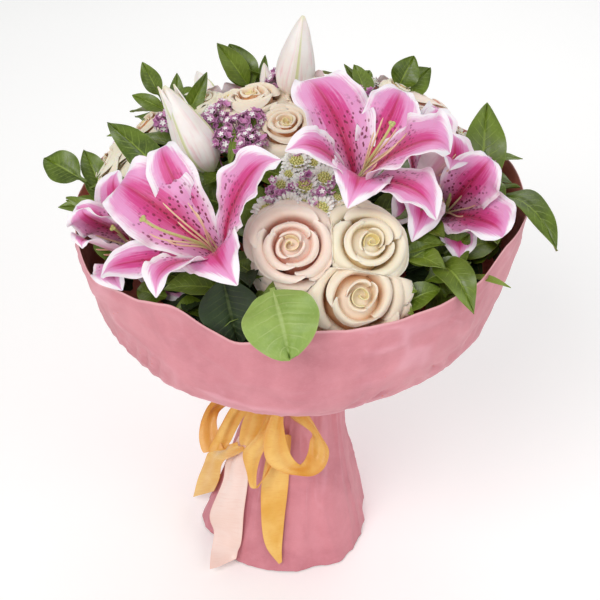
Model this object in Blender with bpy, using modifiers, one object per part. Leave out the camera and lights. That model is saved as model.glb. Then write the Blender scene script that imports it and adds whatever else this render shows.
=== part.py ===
"""Hand-tied flower bouquet: lilies, roses, spray chrysanthemums, statice and foliage in a round
paper wrap, tied at the neck and finished with a satin bow. It stands on the cut stem ends and on
the hem of the flared paper skirt. Metres, +Z up, front towards -Y, floor at z = 0."""

import math

import bmesh
import bpy
import numpy as np
from mathutils import Vector
from mathutils.bvhtree import BVHTree

# ---------------------------------------------------------------- driving dimensions (metres)
RIM_RADIUS = 0.195  # upper edge of the paper bowl
SHOULDER_RADIUS = 0.184  # widest part below the rim, where the bowl turns in
SHOULDER_Z = 0.283
NECK_RADIUS = 0.0375  # paper sleeve at the tie
NECK_Z = 0.200
HEM_RADIUS = 0.086  # skirt on the floor
HEM_CENTRE = (-0.015, -0.020)
PAPER = 0.0010
TIE_RADIUS = 0.0345
RIBBON_WIDTH = 0.025
RIBBON = 0.0009
LILY_STEM, ROSE_STEM, SPRAY_STEM, TWIG = 0.0085, 0.0065, 0.0045, 0.0034  # diameters
LEAF = 0.0012
TEPAL = 0.0015
DOME_CENTRE = np.array((0.0, 0.0, 0.33))  # the flower heads follow this flattened ball
DOME = np.array((0.19, 0.19, 0.13))
FRAME_SHIFT = (0.0070, 0.0057, 0.0)  # brings the middle of the footprint box to the origin
GAP = 0.0004

# The layout is drawn on a 600-unit square board, looked at from the front and 36 degrees above.
BOARD_TILT = math.radians(36)
BOARD_TARGET = np.array((0.0, 0.0, 0.26))
BOARD_DISTANCE = 1.10
BOARD_SCALE = 1177.0
BOARD_RIGHT = np.array((1.0, 0.0, 0.0))
BOARD_UP = np.array((0.0, math.sin(BOARD_TILT), math.cos(BOARD_TILT)))
BOARD_IN = np.array((0.0, math.cos(BOARD_TILT), -math.sin(BOARD_TILT)))
EYE = BOARD_TARGET - BOARD_DISTANCE * BOARD_IN


def unit(v):
    v = np.asarray(v, float)
    return v / max(np.linalg.norm(v), 1e-9)


def sight(bx, by):
    return BOARD_IN + BOARD_RIGHT * (bx - 300) / BOARD_SCALE + BOARD_UP * (300 - by) / BOARD_SCALE


def at_y(bx, by, y):
    """The point seen at (bx, by) on the board that lies in the plane of this y."""
    d = sight(bx, by)
    return EYE + d * (y - EYE[1]) / d[1]


def on_dome(bx, by, size=1.0):
    d = sight(bx, by) / (DOME * size)
    o = (EYE - DOME_CENTRE) / (DOME * size)
    b, a, c = o @ d, d @ d, o @ o - 1
    root = b * b - a * c
    return EYE + sight(bx, by) * ((-b - math.sqrt(max(root, 0.0))) / a)


def dome_at(azimuth, elevation, size=1.0):
    a, e = math.radians(azimuth), math.radians(elevation)
    return DOME_CENTRE + DOME * size * np.array((math.cos(a) * math.cos(e), math.sin(a) * math.cos(e), math.sin(e)))


def outward(p):
    return unit((p - DOME_CENTRE) / DOME**2)


def at_chord(bx, by, start, chord, axis, rise=0.04):
    """The point seen at (bx, by) that is a chord away from start, on the side nearer the wanted rise."""
    d = unit(sight(bx, by))
    o = EYE - start
    b, c = o @ d, o @ o - chord * chord
    root = b * b - c
    if root <= 0:
        return EYE - d * b
    found = [EYE + d * (-b + s * math.sqrt(root)) for s in (-1, 1)]
    return min(found, key=lambda p: abs((p - start) @ axis - rise))


def bezier(points, t):
    a, b, c, d = (np.asarray(p, float) for p in points)
    s = 1 - t
    return a * s**3 + 3 * b * s * s * t + 3 * c * s * t * t + d * t**3


def bezier_slope(points, t):
    a, b, c, d = (np.asarray(p, float) for p in points)
    s = 1 - t
    return 3 * (b - a) * s * s + 6 * (c - b) * s * t + 3 * (d - c) * t * t


def smooth_table(table, a):
    """A value round the circle, eased between the table's (degrees, value) rows."""
    a = a % 360.0
    rows = sorted((k % 360.0, v) for k, v in table)
    rows = [(rows[-1][0] - 360.0, rows[-1][1])] + rows + [(rows[0][0] + 360.0, rows[0][1])]
    for (a0, v0), (a1, v1) in zip(rows, rows[1:]):
        if a0 <= a <= a1:
            t = (a - a0) / max(a1 - a0, 1e-6)
            t = t * t * (3 - 2 * t)
            return v0 + (v1 - v0) * t
    return rows[0][1]


# ---------------------------------------------------------------- the paper wrap
RIM_Z = ((180, 0.366), (195, 0.361), (210, 0.355), (225, 0.368), (240, 0.378), (256, 0.361), (274, 0.373),
         (300, 0.375), (315, 0.379), (328, 0.390), (342, 0.390), (360, 0.376), (15, 0.380), (45, 0.378),
         (90, 0.374), (135, 0.376), (160, 0.372))


def collar_point(azimuth, t):
    """t runs from 0 at the rim, over the shoulder, to 1 at the neck."""
    rim = smooth_table(RIM_Z, azimuth)
    profile = ((0.00, RIM_RADIUS, rim), (0.16, 0.193, rim - 0.035), (0.30, 0.189, SHOULDER_Z + 0.022),
               (0.40, SHOULDER_RADIUS, SHOULDER_Z - 0.001), (0.47, 0.170, 0.268), (0.60, 0.128, 0.2445),
               (0.74, 0.082, 0.2200), (0.86, 0.0475, 0.2040), (0.92, NECK_RADIUS + 0.0035, 0.2005),
               (1.00, NECK_RADIUS, 0.1965))
    for (t0, r0, z0), (t1, r1, z1) in zip(profile, profile[1:]):
        if t <= t1:
            k = (t - t0) / (t1 - t0)
            r, z = r0 + (r1 - r0) * k, z0 + (z1 - z0) * k
            break
    a = math.radians(azimuth)
    return np.array((r * math.cos(a), r * math.sin(a), z))


def skirt_radius(z):
    """Half width of the skirt at this height: a sleeve at the neck, flaring to the hem."""
    k = min(max(1 - z / 0.186, 0.0), 1.0)
    return NECK_RADIUS - 0.0005 + (HEM_RADIUS - NECK_RADIUS) * (0.60 * k + 0.40 * k**2.2) * (1 - 0.06 * k**6)


def skirt_centre(z):
    k = min(max(1 - z / 0.186, 0.0), 1.0)
    return np.array((HEM_CENTRE[0] * k, HEM_CENTRE[1] * k))


def skirt_point(azimuth, t):
    z = (0.191, 0.182, 0.165, 0.132, 0.092, 0.048, 0.0)[round(t * 6)]
    a = math.radians(azimuth)
    r = skirt_radius(z)
    c = skirt_centre(z)
    return np.array((c[0] + r * math.cos(a), c[1] + r * math.sin(a), z))


def on_skirt(bx, by, off):
    """The point seen at (bx, by) that lies off metres outside the skirt's front, or before its outline."""
    d = unit(sight(bx, by))
    best, depth = 1e9, 1.08
    for step in range(200):
        reach = 0.88 + 0.40 * step / 199
        p = EYE + d * reach
        c = skirt_centre(p[2])
        miss = math.hypot(p[0] - c[0], p[1] - c[1]) - skirt_radius(p[2])
        if p[2] < 0.0022:
            break
        if miss < best:
            best, depth = miss, reach
        if miss <= off:
            return p
    return EYE + d * (depth - max(off - 0.004, 0.0))


# ---------------------------------------------------------------- flowers
def tepal(start, axis, tip, width, arch=0.30, curl=0.30, side=None):
    """One lily tepal: a curve in the plane of the flower's axis and the tip, with its width across it."""
    chord = np.linalg.norm(tip - start)
    radial = unit((tip - start) - axis * ((tip - start) @ axis))
    curve = (start, start + chord * (arch * axis + 0.14 * radial),
             tip + chord * (0.5 * curl * axis - curl * radial), tip)
    return {"curve": curve, "side": unit(np.cross(axis, radial)) if side is None else unit(side), "width": width}


def tepal_width(t):
    return (0.16 + 0.84 * math.sin(math.pi * min(t / 0.60, 1.0) / 2) ** 1.2) * (1 - max(t - 0.55, 0.0) ** 2.2 / 0.45**2.2 * 0.97)


def tepal_point(spec, u, v):
    p = bezier(spec["curve"], u)
    normal = unit(np.cross(bezier_slope(spec["curve"], u), spec["side"]))
    half = spec["width"] / 2 * tepal_width(u)
    return p + spec["side"] * half * v + normal * half * 0.18 * v * v


LILIES = {
    # throat on the dome (board x, y, size), axis, tepals (board x, y, chord, width, arch, curl)
    "lily_a": ((219, 254, 1.00), (-0.41, -0.30, 0.86), (
        (160, 139, 0.100, 0.038, 0.30, 0.28), (281, 153, 0.098, 0.050, 0.30, 0.28),
        (114, 181, 0.100, 0.064, 0.28, 0.26), (94, 274, 0.100, 0.036, 0.26, 0.30),
        (151, 297, 0.088, 0.038, 0.30, 0.34), (236, 284, 0.066, 0.048, 0.40, 0.50))),
    "lily_b": ((357, 181, 1.00), (0.20, -0.35, 0.91), (
        (303, 74, 0.100, 0.062, 0.30, 0.26), (283, 147, 0.086, 0.038, 0.32, 0.34),
        (404, 84, 0.094, 0.044, 0.28, 0.28), (456, 150, 0.098, 0.060, 0.30, 0.26),
        (441, 218, 0.090, 0.044, 0.32, 0.34), (348, 207, 0.060, 0.048, 0.42, 0.50))),
    "lily_c": ((132, 247, 0.90), (-0.42, -0.62, 0.66), (
        (80, 204, 0.074, 0.040, 0.26, 0.24), (78, 250, 0.070, 0.030, 0.26, 0.30),
        (120, 292, 0.064, 0.040, 0.30, 0.40), (188, 304, 0.074, 0.030, 0.30, 0.40))),
    "lily_d": ((423, 184, 0.90), (0.40, -0.18, 0.90), (
        (438, 101, 0.090, 0.034, 0.30, 0.28), (452, 168, 0.060, 0.040, 0.40, 0.34),
        (414, 240, 0.072, 0.036, 0.34, 0.44), (394, 224, 0.060, 0.034, 0.34, 0.44))),
    "lily_e": ((444, 212, 0.86), (0.18, -0.62, 0.76), (
        (506, 238, 0.080, 0.056, 0.22, 0.20), (494, 154, 0.080, 0.046, 0.24, 0.24),
        (460, 262, 0.056, 0.034, 0.30, 0.34))),
    "lily_f": (None, (-0.15, 0.60, 0.78), (
        (214, 92, 0.056, 0.036, 0.30, 0.30), (246, 92, 0.056, 0.036, 0.30, 0.30))),
    "lily_g": (None, (0.08, 0.55, 0.83), ()),
}
BACK_THROATS = {"lily_f": np.array((-0.050, 0.098, 0.386)), "lily_g": np.array((0.030, 0.132, 0.372))}


def lily_throat(name):
    return BACK_THROATS[name] if name in BACK_THROATS else on_dome(*LILIES[name][0])


def ring_tip(throat, axis, turn, chord=0.090, rise=0.040):
    """A tip round the axis, for tepals that the front view doesn't show."""
    across = unit(np.cross(axis, (0, 0, 1)))
    up = unit(np.cross(across, axis))
    out = math.sqrt(chord * chord - rise * rise)
    a = math.radians(turn)
    return throat + axis * rise + (across * math.cos(a) + up * math.sin(a)) * out


# tepals that the front view hides: turn round the axis in degrees, chord, width, and rise where it isn't 40 mm
HIDDEN_TEPALS = {
    "lily_c": ((75, 0.070, 0.036), (20, 0.060, 0.030)),
    "lily_d": ((95, 0.070, 0.034), (150, 0.070, 0.034)),
    "lily_e": ((100, 0.070, 0.036), (165, 0.056, 0.032)),
    "lily_f": ((-15, 0.056, 0.032), (45, 0.056, 0.036), (105, 0.056, 0.030), (170, 0.056, 0.034)),
    "lily_g": ((10, 0.080, 0.048), (70, 0.066, 0.034), (130, 0.066, 0.048), (190, 0.080, 0.034),
               (250, 0.080, 0.046, 0.052), (310, 0.080, 0.034, 0.052)),
}


def lily_tepals(name):
    _, axis, rows = LILIES[name]
    axis = unit(axis)
    throat = lily_throat(name)
    start = throat - axis * 0.012
    made = [tepal(start, axis, at_chord(bx, by, throat, chord, axis), width, arch, curl)
            for bx, by, chord, width, arch, curl in rows]
    made += [tepal(start, axis, ring_tip(throat, axis, turn, chord, *rise), width)
             for turn, chord, width, *rise in HIDDEN_TEPALS.get(name, ())]
    return throat, axis, made


ROSES = {
    # centre, radius, lean of the axis away from the dome's own direction
    "rose_blush_front": (on_dome(296, 248, 0.94), 0.0315, (0.0, -0.10, 0.0)),
    "rose_cream_front": (on_dome(361, 247, 0.94), 0.0285, (0.0, -0.10, 0.0)),
    "rose_cream_low": (on_dome(352, 301, 0.90), 0.0330, (0.0, -0.10, 0.20)),
    "rose_cream_left": (on_dome(115, 180, 0.92), 0.0280, (0.0, -0.10, 0.0)),
    "rose_peach_top": (on_dome(285, 131, 0.93), 0.0215, (-0.1, -0.30, 0.0)),
    "rose_cream_top": (on_dome(256, 107, 0.95), 0.0240, (0.0, 0.0, 0.0)),
    "rose_blush_back": (dome_at(38, 34, 0.93), 0.0310, (0.0, 0.0, 0.0)),
    "rose_cream_back": (dome_at(138, 30, 0.93), 0.0310, (0.0, 0.0, 0.0)),
}


def rose_axis(name):
    centre, _, lean = ROSES[name]
    return unit(outward(centre) + np.array(lean))


BUDS = {
    # base, tip, greatest diameter
    "lily_bud_top": (at_y(291, 96, 0.035), at_y(303, 16, 0.030), 0.034),
    "lily_bud_left": (at_y(212, 172, -0.045), at_y(164, 86, -0.030), 0.035),
    "lily_bud_back": (np.array((-0.086, 0.158, 0.380)), np.array((-0.104, 0.208, 0.394)), 0.024),
}

SANTINI_FRONT = tuple(on_dome(bx, by, 0.97) for bx, by in (
    (297, 163), (324, 180), (305, 187), (288, 207), (321, 210), (330, 229), (268, 212)))
SANTINI_BACK = (on_dome(366, 84, 0.97), dome_at(60, 52, 0.97), dome_at(20, 44, 0.95))
STATICE_LEFT = tuple(on_dome(bx, by, 0.99) for bx, by in (
    (206, 128), (222, 114), (238, 128), (224, 142), (248, 142), (254, 122)))
STATICE_BACK = (on_dome(278, 84, 1.0), on_dome(302, 88, 1.0), dome_at(100, 60, 0.98), dome_at(165, 50, 0.98))


# ---------------------------------------------------------------- leaves
def leaf(base, tip, width, face, sag=0.10, petiole=0.18):
    """One leaf from base to tip. face is roughly where its upper side looks; sag bows it that way."""
    base, tip, face = np.asarray(base, float), np.asarray(tip, float), unit(face)
    along = unit(tip - base)
    face = unit(face - along * (face @ along))
    length = np.linalg.norm(tip - base)
    curve = (base, base + along * length * 0.33 + face * sag * length * 1.3,
             base + along * length * 0.68 + face * sag * length * 1.3, tip)
    return {"curve": curve, "side": unit(np.cross(along, face)), "width": width, "petiole": petiole}


def leaf_width(t, petiole):
    stalk = 0.10 + 0.02 * (1 - t)
    if t <= petiole:
        return stalk
    k = (t - petiole) / (1 - petiole)
    return max(stalk * (1 - k), math.sin(math.pi * k**0.82) ** 0.85)


def leaf_point(spec, u, v):
    p = bezier(spec["curve"], u)
    normal = unit(np.cross(spec["side"], bezier_slope(spec["curve"], u)))
    half = spec["width"] / 2 * leaf_width(u, spec["petiole"])
    return p + spec["side"] * half * v + normal * half * 0.22 * abs(v)


SINGLE_LEAVES = {
    "leaf_round_front": leaf(at_y(272, 288, -0.176), at_y(290, 360, -0.222), 0.060, (0.0, -0.9, 0.5), 0.16, 0.06),
    "leaf_lily_front": leaf(at_y(222, 276, -0.160), at_y(238, 344, -0.181), 0.046, (-0.1, -0.6, 0.8), 0.10, 0.05),
    "leaf_lily_left": leaf(at_y(178, 192, -0.070), at_y(107, 122, 0.000), 0.027, (0.1, -0.6, 0.7), 0.06, 0.05),
}

# twigs: the end of the twig, then the leaves (place along the upper twig, tip, width, face, sag)
TWIGS = {
    "foliage_left": (at_y(86, 182, 0.000), (
        (1.00, at_y(44, 158, 0.020), 0.030, (-0.2, -0.6, 0.8), 0.08),
        (0.86, at_y(84, 150, 0.030), 0.022, (0.2, -0.6, 0.7), 0.06),
        (0.64, at_y(58, 207, -0.014), 0.022, (-0.2, -0.5, 0.8), 0.12))),
    "foliage_top_left": (at_y(162, 100, 0.050), (
        (1.00, at_y(142, 62, 0.060), 0.017, (-0.2, -0.7, 0.6), 0.06),
        (0.90, at_y(132, 95, 0.055), 0.014, (-0.2, -0.7, 0.6), 0.06),
        (0.86, at_y(177, 73, 0.065), 0.014, (0.2, -0.7, 0.6), 0.06),
        (0.80, at_y(207, 72, 0.060), 0.016, (0.2, -0.7, 0.6), 0.06))),
    "foliage_top": (at_y(252, 92, 0.075), (
        (1.00, at_y(217, 43, 0.080), 0.021, (0.1, -0.8, 0.5), 0.05),
        (0.97, at_y(229, 44, 0.095), 0.030, (0.1, -0.8, 0.5), 0.05),
        (0.86, at_y(265, 55, 0.105), 0.012, (0.2, -0.7, 0.6), 0.05))),
    "foliage_top_right": (at_y(396, 92, 0.090), (
        (1.00, at_y(414, 56, 0.100), 0.026, (0.1, -0.7, 0.6), 0.07),
        (0.92, at_y(430, 68, 0.112), 0.028, (0.1, -0.7, 0.6), 0.07),
        (0.80, at_y(344, 64, 0.100), 0.014, (-0.2, -0.6, 0.7), 0.06))),
    "foliage_right": (at_y(485, 201, -0.012), (
        (1.00, at_y(557, 251, -0.085), 0.030, (0.3, -0.4, 0.9), 0.25),
        (0.94, at_y(487, 103, 0.045), 0.038, (0.1, -0.75, 0.6), 0.07),
        (0.90, at_y(485, 150, -0.004), 0.018, (0.2, -0.7, 0.6), 0.05))),
    "foliage_low_right": (at_y(430, 268, -0.108), (
        (1.00, at_y(474, 314, -0.160), 0.028, (0.1, -0.5, 0.9), 0.34),
        (0.94, at_y(470, 234, -0.096), 0.036, (0.1, -0.6, 0.8), 0.08))),
    "foliage_back_left": (dome_at(128, 22, 0.98), (
        (1.00, dome_at(126, 8, 1.12) + np.array((0, 0, 0.044)), 0.032, (-0.3, 0.5, 0.8), 0.12),
        (0.91, dome_at(141, 8, 1.12) + np.array((0, 0, 0.038)), 0.028, (-0.4, 0.4, 0.8), 0.12))),
    "foliage_back_right": (dome_at(60, 20, 0.98), (
        (1.00, dome_at(60, 8, 1.13) + np.array((0, 0, 0.048)), 0.034, (0.4, 0.4, 0.8), 0.12),
        (0.92, dome_at(84, 6, 1.12) + np.array((0, 0, 0.048)), 0.030, (0.1, 0.6, 0.8), 0.12))),
}


# ---------------------------------------------------------------- stems
def polar(radius, azimuth, z):
    a = math.radians(azimuth)
    return np.array((radius * math.cos(a), radius * math.sin(a), z))


def azimuth_of(p):
    return math.degrees(math.atan2(p[1], p[0]))


def stem_route(head, axis, ring, slot, spread):
    """From the cut end on the floor, past its place at the tie, and on to the head: all lean the same way round."""
    neck = polar(ring, slot, NECK_Z - 0.008)
    foot = polar(spread, slot - 62, 0.0) + np.array((-0.012, -0.016, 0.0))
    cut = foot + (neck - foot) * 0.06
    cut = np.array((foot[0], foot[1], cut[2]))
    knee = neck + (neck - foot) * 0.22
    reach = np.linalg.norm(head - knee)
    curve = (knee, knee + unit(neck - foot) * reach * 0.34, head - axis * reach * 0.34, head)
    return [foot, cut, neck, knee] + [bezier(curve, k / 6) for k in range(1, 7)]


# ring radius at the tie, spread of the cut ends, and each stem's place round the ring in degrees
STEM_RINGS = (
    (0.0, 0.0, {"stem_chrysanthemum_front": 0}),
    (0.0115, 0.040, {"stem_rose_cream_top": 70, "stem_rose_peach_top": 180, "stem_rose_cream_front": 225,
                     "stem_statice_left": 107, "stem_statice_back": 320}),
    (0.0228, 0.058, {"stem_lily_left": 162, "stem_lily_right": 297, "stem_lily_back": 66, "stem_rose_blush_front": 207,
                     "stem_rose_cream_low": 262, "stem_rose_cream_left": 122, "stem_rose_blush_back": 332,
                     "stem_rose_cream_back": 92, "stem_chrysanthemum_back": 12}),
)


TWIG_RING = 0.0305
TWIG_PLACES = {"foliage_left": 118, "foliage_top_left": 106, "foliage_top": 73, "foliage_top_right": 321,
               "foliage_right": 276, "foliage_low_right": 244, "foliage_back_left": 85, "foliage_back_right": 345}


# ---------------------------------------------------------------- Blender helpers
def clear_scene():
    for item in list(bpy.data.objects):
        bpy.data.objects.remove(item, do_unlink=True)
    for block in (bpy.data.meshes, bpy.data.curves, bpy.data.materials):
        for item in list(block):
            block.remove(item)
    for item in list(bpy.data.collections):
        bpy.data.collections.remove(item)


clear_scene()
BOUQUET = bpy.data.collections.new("flower_bouquet")
CUTTERS = bpy.data.collections.new("cutters")
bpy.context.scene.collection.children.link(BOUQUET)
bpy.context.scene.collection.children.link(CUTTERS)
ROOT = bpy.data.objects.new("bouquet_root", None)
BOUQUET.objects.link(ROOT)
ROOT.location = FRAME_SHIFT
MADE = {}


def material(name, colour, roughness, metallic=0.0):
    found = bpy.data.materials.get(name)
    if found:
        return found
    made = bpy.data.materials.new(name)
    made.use_nodes = True
    shader = made.node_tree.nodes["Principled BSDF"]
    shader.inputs["Base Color"].default_value = (*colour, 1.0)
    shader.inputs["Roughness"].default_value = roughness
    shader.inputs["Metallic"].default_value = metallic
    made.diffuse_color = (*colour, 1.0)
    return made


PINK_PAPER = material("pink_paper", (0.72, 0.28, 0.33), 0.75)
CORD = material("jute_cord", (0.45, 0.33, 0.18), 0.9)
GOLD_SATIN = material("gold_satin", (0.90, 0.50, 0.08), 0.35)
PEACH_SATIN = material("peach_satin", (0.86, 0.60, 0.52), 0.35)
LILY_PINK = material("lily_pink", (0.80, 0.16, 0.38), 0.5)
BUD_WHITE = material("bud_white", (0.90, 0.82, 0.72), 0.5)
ROSE_CREAM = material("rose_cream", (0.93, 0.80, 0.58), 0.55)
ROSE_BLUSH = material("rose_blush", (0.92, 0.66, 0.54), 0.55)
DAISY_WHITE = material("daisy_white", (0.90, 0.89, 0.80), 0.6)
STATICE_MAUVE = material("statice_mauve", (0.48, 0.12, 0.42), 0.8)
LEAF_GREEN = material("leaf_green", (0.07, 0.20, 0.04), 0.4)
LEAF_PALE = material("leaf_pale", (0.33, 0.50, 0.13), 0.5)
STEM_GREEN = material("stem_green", (0.16, 0.30, 0.07), 0.5)


def add(name, mesh, look, collection=None):
    made = bpy.data.objects.new(name, mesh)
    (collection or BOUQUET).objects.link(made)
    if look:
        mesh.materials.clear()
        mesh.materials.append(look)
    return made


def grid(name, point, along, across, ring=False):
    """An open surface from a coarse cage of along x across faces, or a tube-like one if it closes on itself."""
    mesh = bpy.data.meshes.new(name)
    shape = bmesh.new()
    rows = []
    for i in range(along + 1):
        count = across if ring else across + 1
        rows.append([shape.verts.new(point(i / along, j / across)) for j in range(count)])
    for low, high in zip(rows, rows[1:]):
        for j in range(across):
            k = (j + 1) % len(low)
            shape.faces.new((low[j], low[k], high[k], high[j]))
    bmesh.ops.recalc_face_normals(shape, faces=shape.faces)
    shape.to_mesh(mesh)
    shape.free()
    return mesh


def thicken(item, thickness, offset=0.0):
    solid = item.modifiers.new("thickness", "SOLIDIFY")
    solid.thickness = thickness
    solid.offset = offset
    solid.use_even_offset = False
    return item


def baked(item, name=None, look=None):
    """The object with its modifiers applied and its ends welded, as a plain mesh object."""
    bpy.context.view_layer.update()
    graph = bpy.context.evaluated_depsgraph_get()
    mesh = bpy.data.meshes.new_from_object(item.evaluated_get(graph))
    mesh.transform(item.matrix_world)
    shape = bmesh.new()
    shape.from_mesh(mesh)
    bmesh.ops.remove_doubles(shape, verts=shape.verts, dist=0.00001)
    bmesh.ops.triangulate(shape, faces=shape.faces)
    if shape.calc_volume(signed=True) < 0:
        bmesh.ops.reverse_faces(shape, faces=shape.faces)
    shape.to_mesh(mesh)
    shape.free()
    looks = list(item.data.materials)
    name = name or item.name
    bpy.data.objects.remove(item, do_unlink=True)
    mesh.name = name
    made = add(name, mesh, look or (looks[0] if looks else None))
    return made


def tube(name, points, diameter, look, sides=1):
    curve = bpy.data.curves.new(name, "CURVE")
    curve.dimensions = "3D"
    curve.bevel_depth = diameter / 2
    curve.bevel_resolution = sides
    curve.use_fill_caps = True
    line = curve.splines.new("POLY")
    line.points.add(len(points) - 1)
    for place, p in zip(line.points, points):
        place.co = (*p, 1.0)
    curve.materials.append(look)
    return add(name, curve, None)


def lift(item):
    """A curve object made a plain welded mesh, so that it can be cut or joined."""
    return baked(item)


def joined(name, first, others, look):
    """The first object with the others joined to it by a Boolean union."""
    for other in others:
        join = first.modifiers.new("join", "BOOLEAN")
        join.operation = "UNION"
        join.solver = "EXACT"
        join.object = other
        other.hide_render = True
        other.display_type = "WIRE"
    made = baked(first, name, look)
    for other in others:
        bpy.data.objects.remove(other, do_unlink=True)
    return made


def one_piece(mesh, near=None):
    """Keeps the largest loose part, or the one that reaches nearest to a point."""
    shape = bmesh.new()
    shape.from_mesh(mesh)
    shape.verts.ensure_lookup_table()
    seen, groups = set(), []
    for start in shape.verts:
        if start in seen:
            continue
        group, todo = [], [start]
        seen.add(start)
        while todo:
            v = todo.pop()
            group.append(v)
            for edge in v.link_edges:
                other = edge.other_vert(v)
                if other not in seen:
                    seen.add(other)
                    todo.append(other)
        groups.append(group)

    def size(group):
        box = np.array([v.co for v in group])
        if near is not None:
            return -float(np.min(np.linalg.norm(box - near, axis=1)))
        return float(np.prod(np.ptp(box, axis=0) + 1e-5))

    keep = max(groups, key=size)
    kept = set(keep)
    bmesh.ops.delete(shape, geom=[v for v in shape.verts if v not in kept], context="VERTS")
    shape.to_mesh(mesh)
    shape.free()
    return len(groups)


def volume(mesh):
    shape = bmesh.new()
    shape.from_mesh(mesh)
    size = shape.calc_volume(signed=True)
    shape.free()
    return size


def tree_of(item):
    shape = bmesh.new()
    shape.from_mesh(item.data)
    tree = BVHTree.FromBMesh(shape)
    shape.free()
    return tree


def swollen(item, by):
    """A cutter: this object's shape, grown by the gap that touching petals keep."""
    mesh = item.data.copy()
    shape = bmesh.new()
    shape.from_mesh(mesh)
    shape.normal_update()
    moved = [(v, v.normal * by) for v in shape.verts]
    for v, d in moved:
        v.co += d
    shape.to_mesh(mesh)
    shape.free()
    made = add(item.name + "_cutter", mesh, None, CUTTERS)
    made.hide_render = True
    made.display_type = "WIRE"
    return made


def trim(item, keepers, near=None):
    """Cuts the item back where a keeper passes through it."""
    for keeper in keepers:
        grown = swollen(keeper, GAP)
        if not tree_of(item).overlap(tree_of(grown)):
            bpy.data.objects.remove(grown, do_unlink=True)
            continue
        cut = item.modifiers.new("cut", "BOOLEAN")
        cut.operation = "DIFFERENCE"
        cut.solver = "EXACT"
        cut.object = grown
        before = item.data.copy()
        item = baked(item)
        bpy.data.objects.remove(grown, do_unlink=True)
        if len(item.data.polygons) == 0:
            item.data = before
            continue
        one_piece(item.data, near)
    return item


# ---------------------------------------------------------------- the pieces
def make_wraps():
    collar = add("wrap_collar", grid("wrap_collar", lambda u, v: collar_point(v * 360, (0, .16, .30, .40, .47, .60, .74, .86, .92, 1)[round(u * 9)]), 9, 26, True), PINK_PAPER)
    MADE["wrap_collar"] = baked(thicken(collar, PAPER))
    skirt = add("wrap_skirt", grid("wrap_skirt", lambda u, v: skirt_point(v * 360, u), 6, 20, True), PINK_PAPER)
    made = baked(thicken(skirt, PAPER))
    for v in made.data.vertices:  # the hem is cut level with the floor
        if v.co.z < 0.003:
            v.co.z = 0.0
    MADE["wrap_skirt"] = made


def make_tie():
    bpy.ops.mesh.primitive_torus_add(major_radius=TIE_RADIUS, minor_radius=0.0012, major_segments=18, minor_segments=4,
                                     location=(0, 0, NECK_Z - 0.012))
    ring = bpy.context.active_object
    ring.name = "binding_tie"
    ring.scale = (1, 1, 4.0)
    bpy.ops.object.transform_apply(location=False, rotation=False, scale=True)
    for c in list(ring.users_collection):
        c.objects.unlink(ring)
    BOUQUET.objects.link(ring)
    ring.data.materials.append(CORD)
    MADE["binding_tie"] = ring


def band_point(u, v):
    a = 2 * math.pi * v
    r = NECK_RADIUS + 0.0030
    return np.array((r * math.cos(a), r * math.sin(a), 0.1790 + 0.0170 * u))


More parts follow.
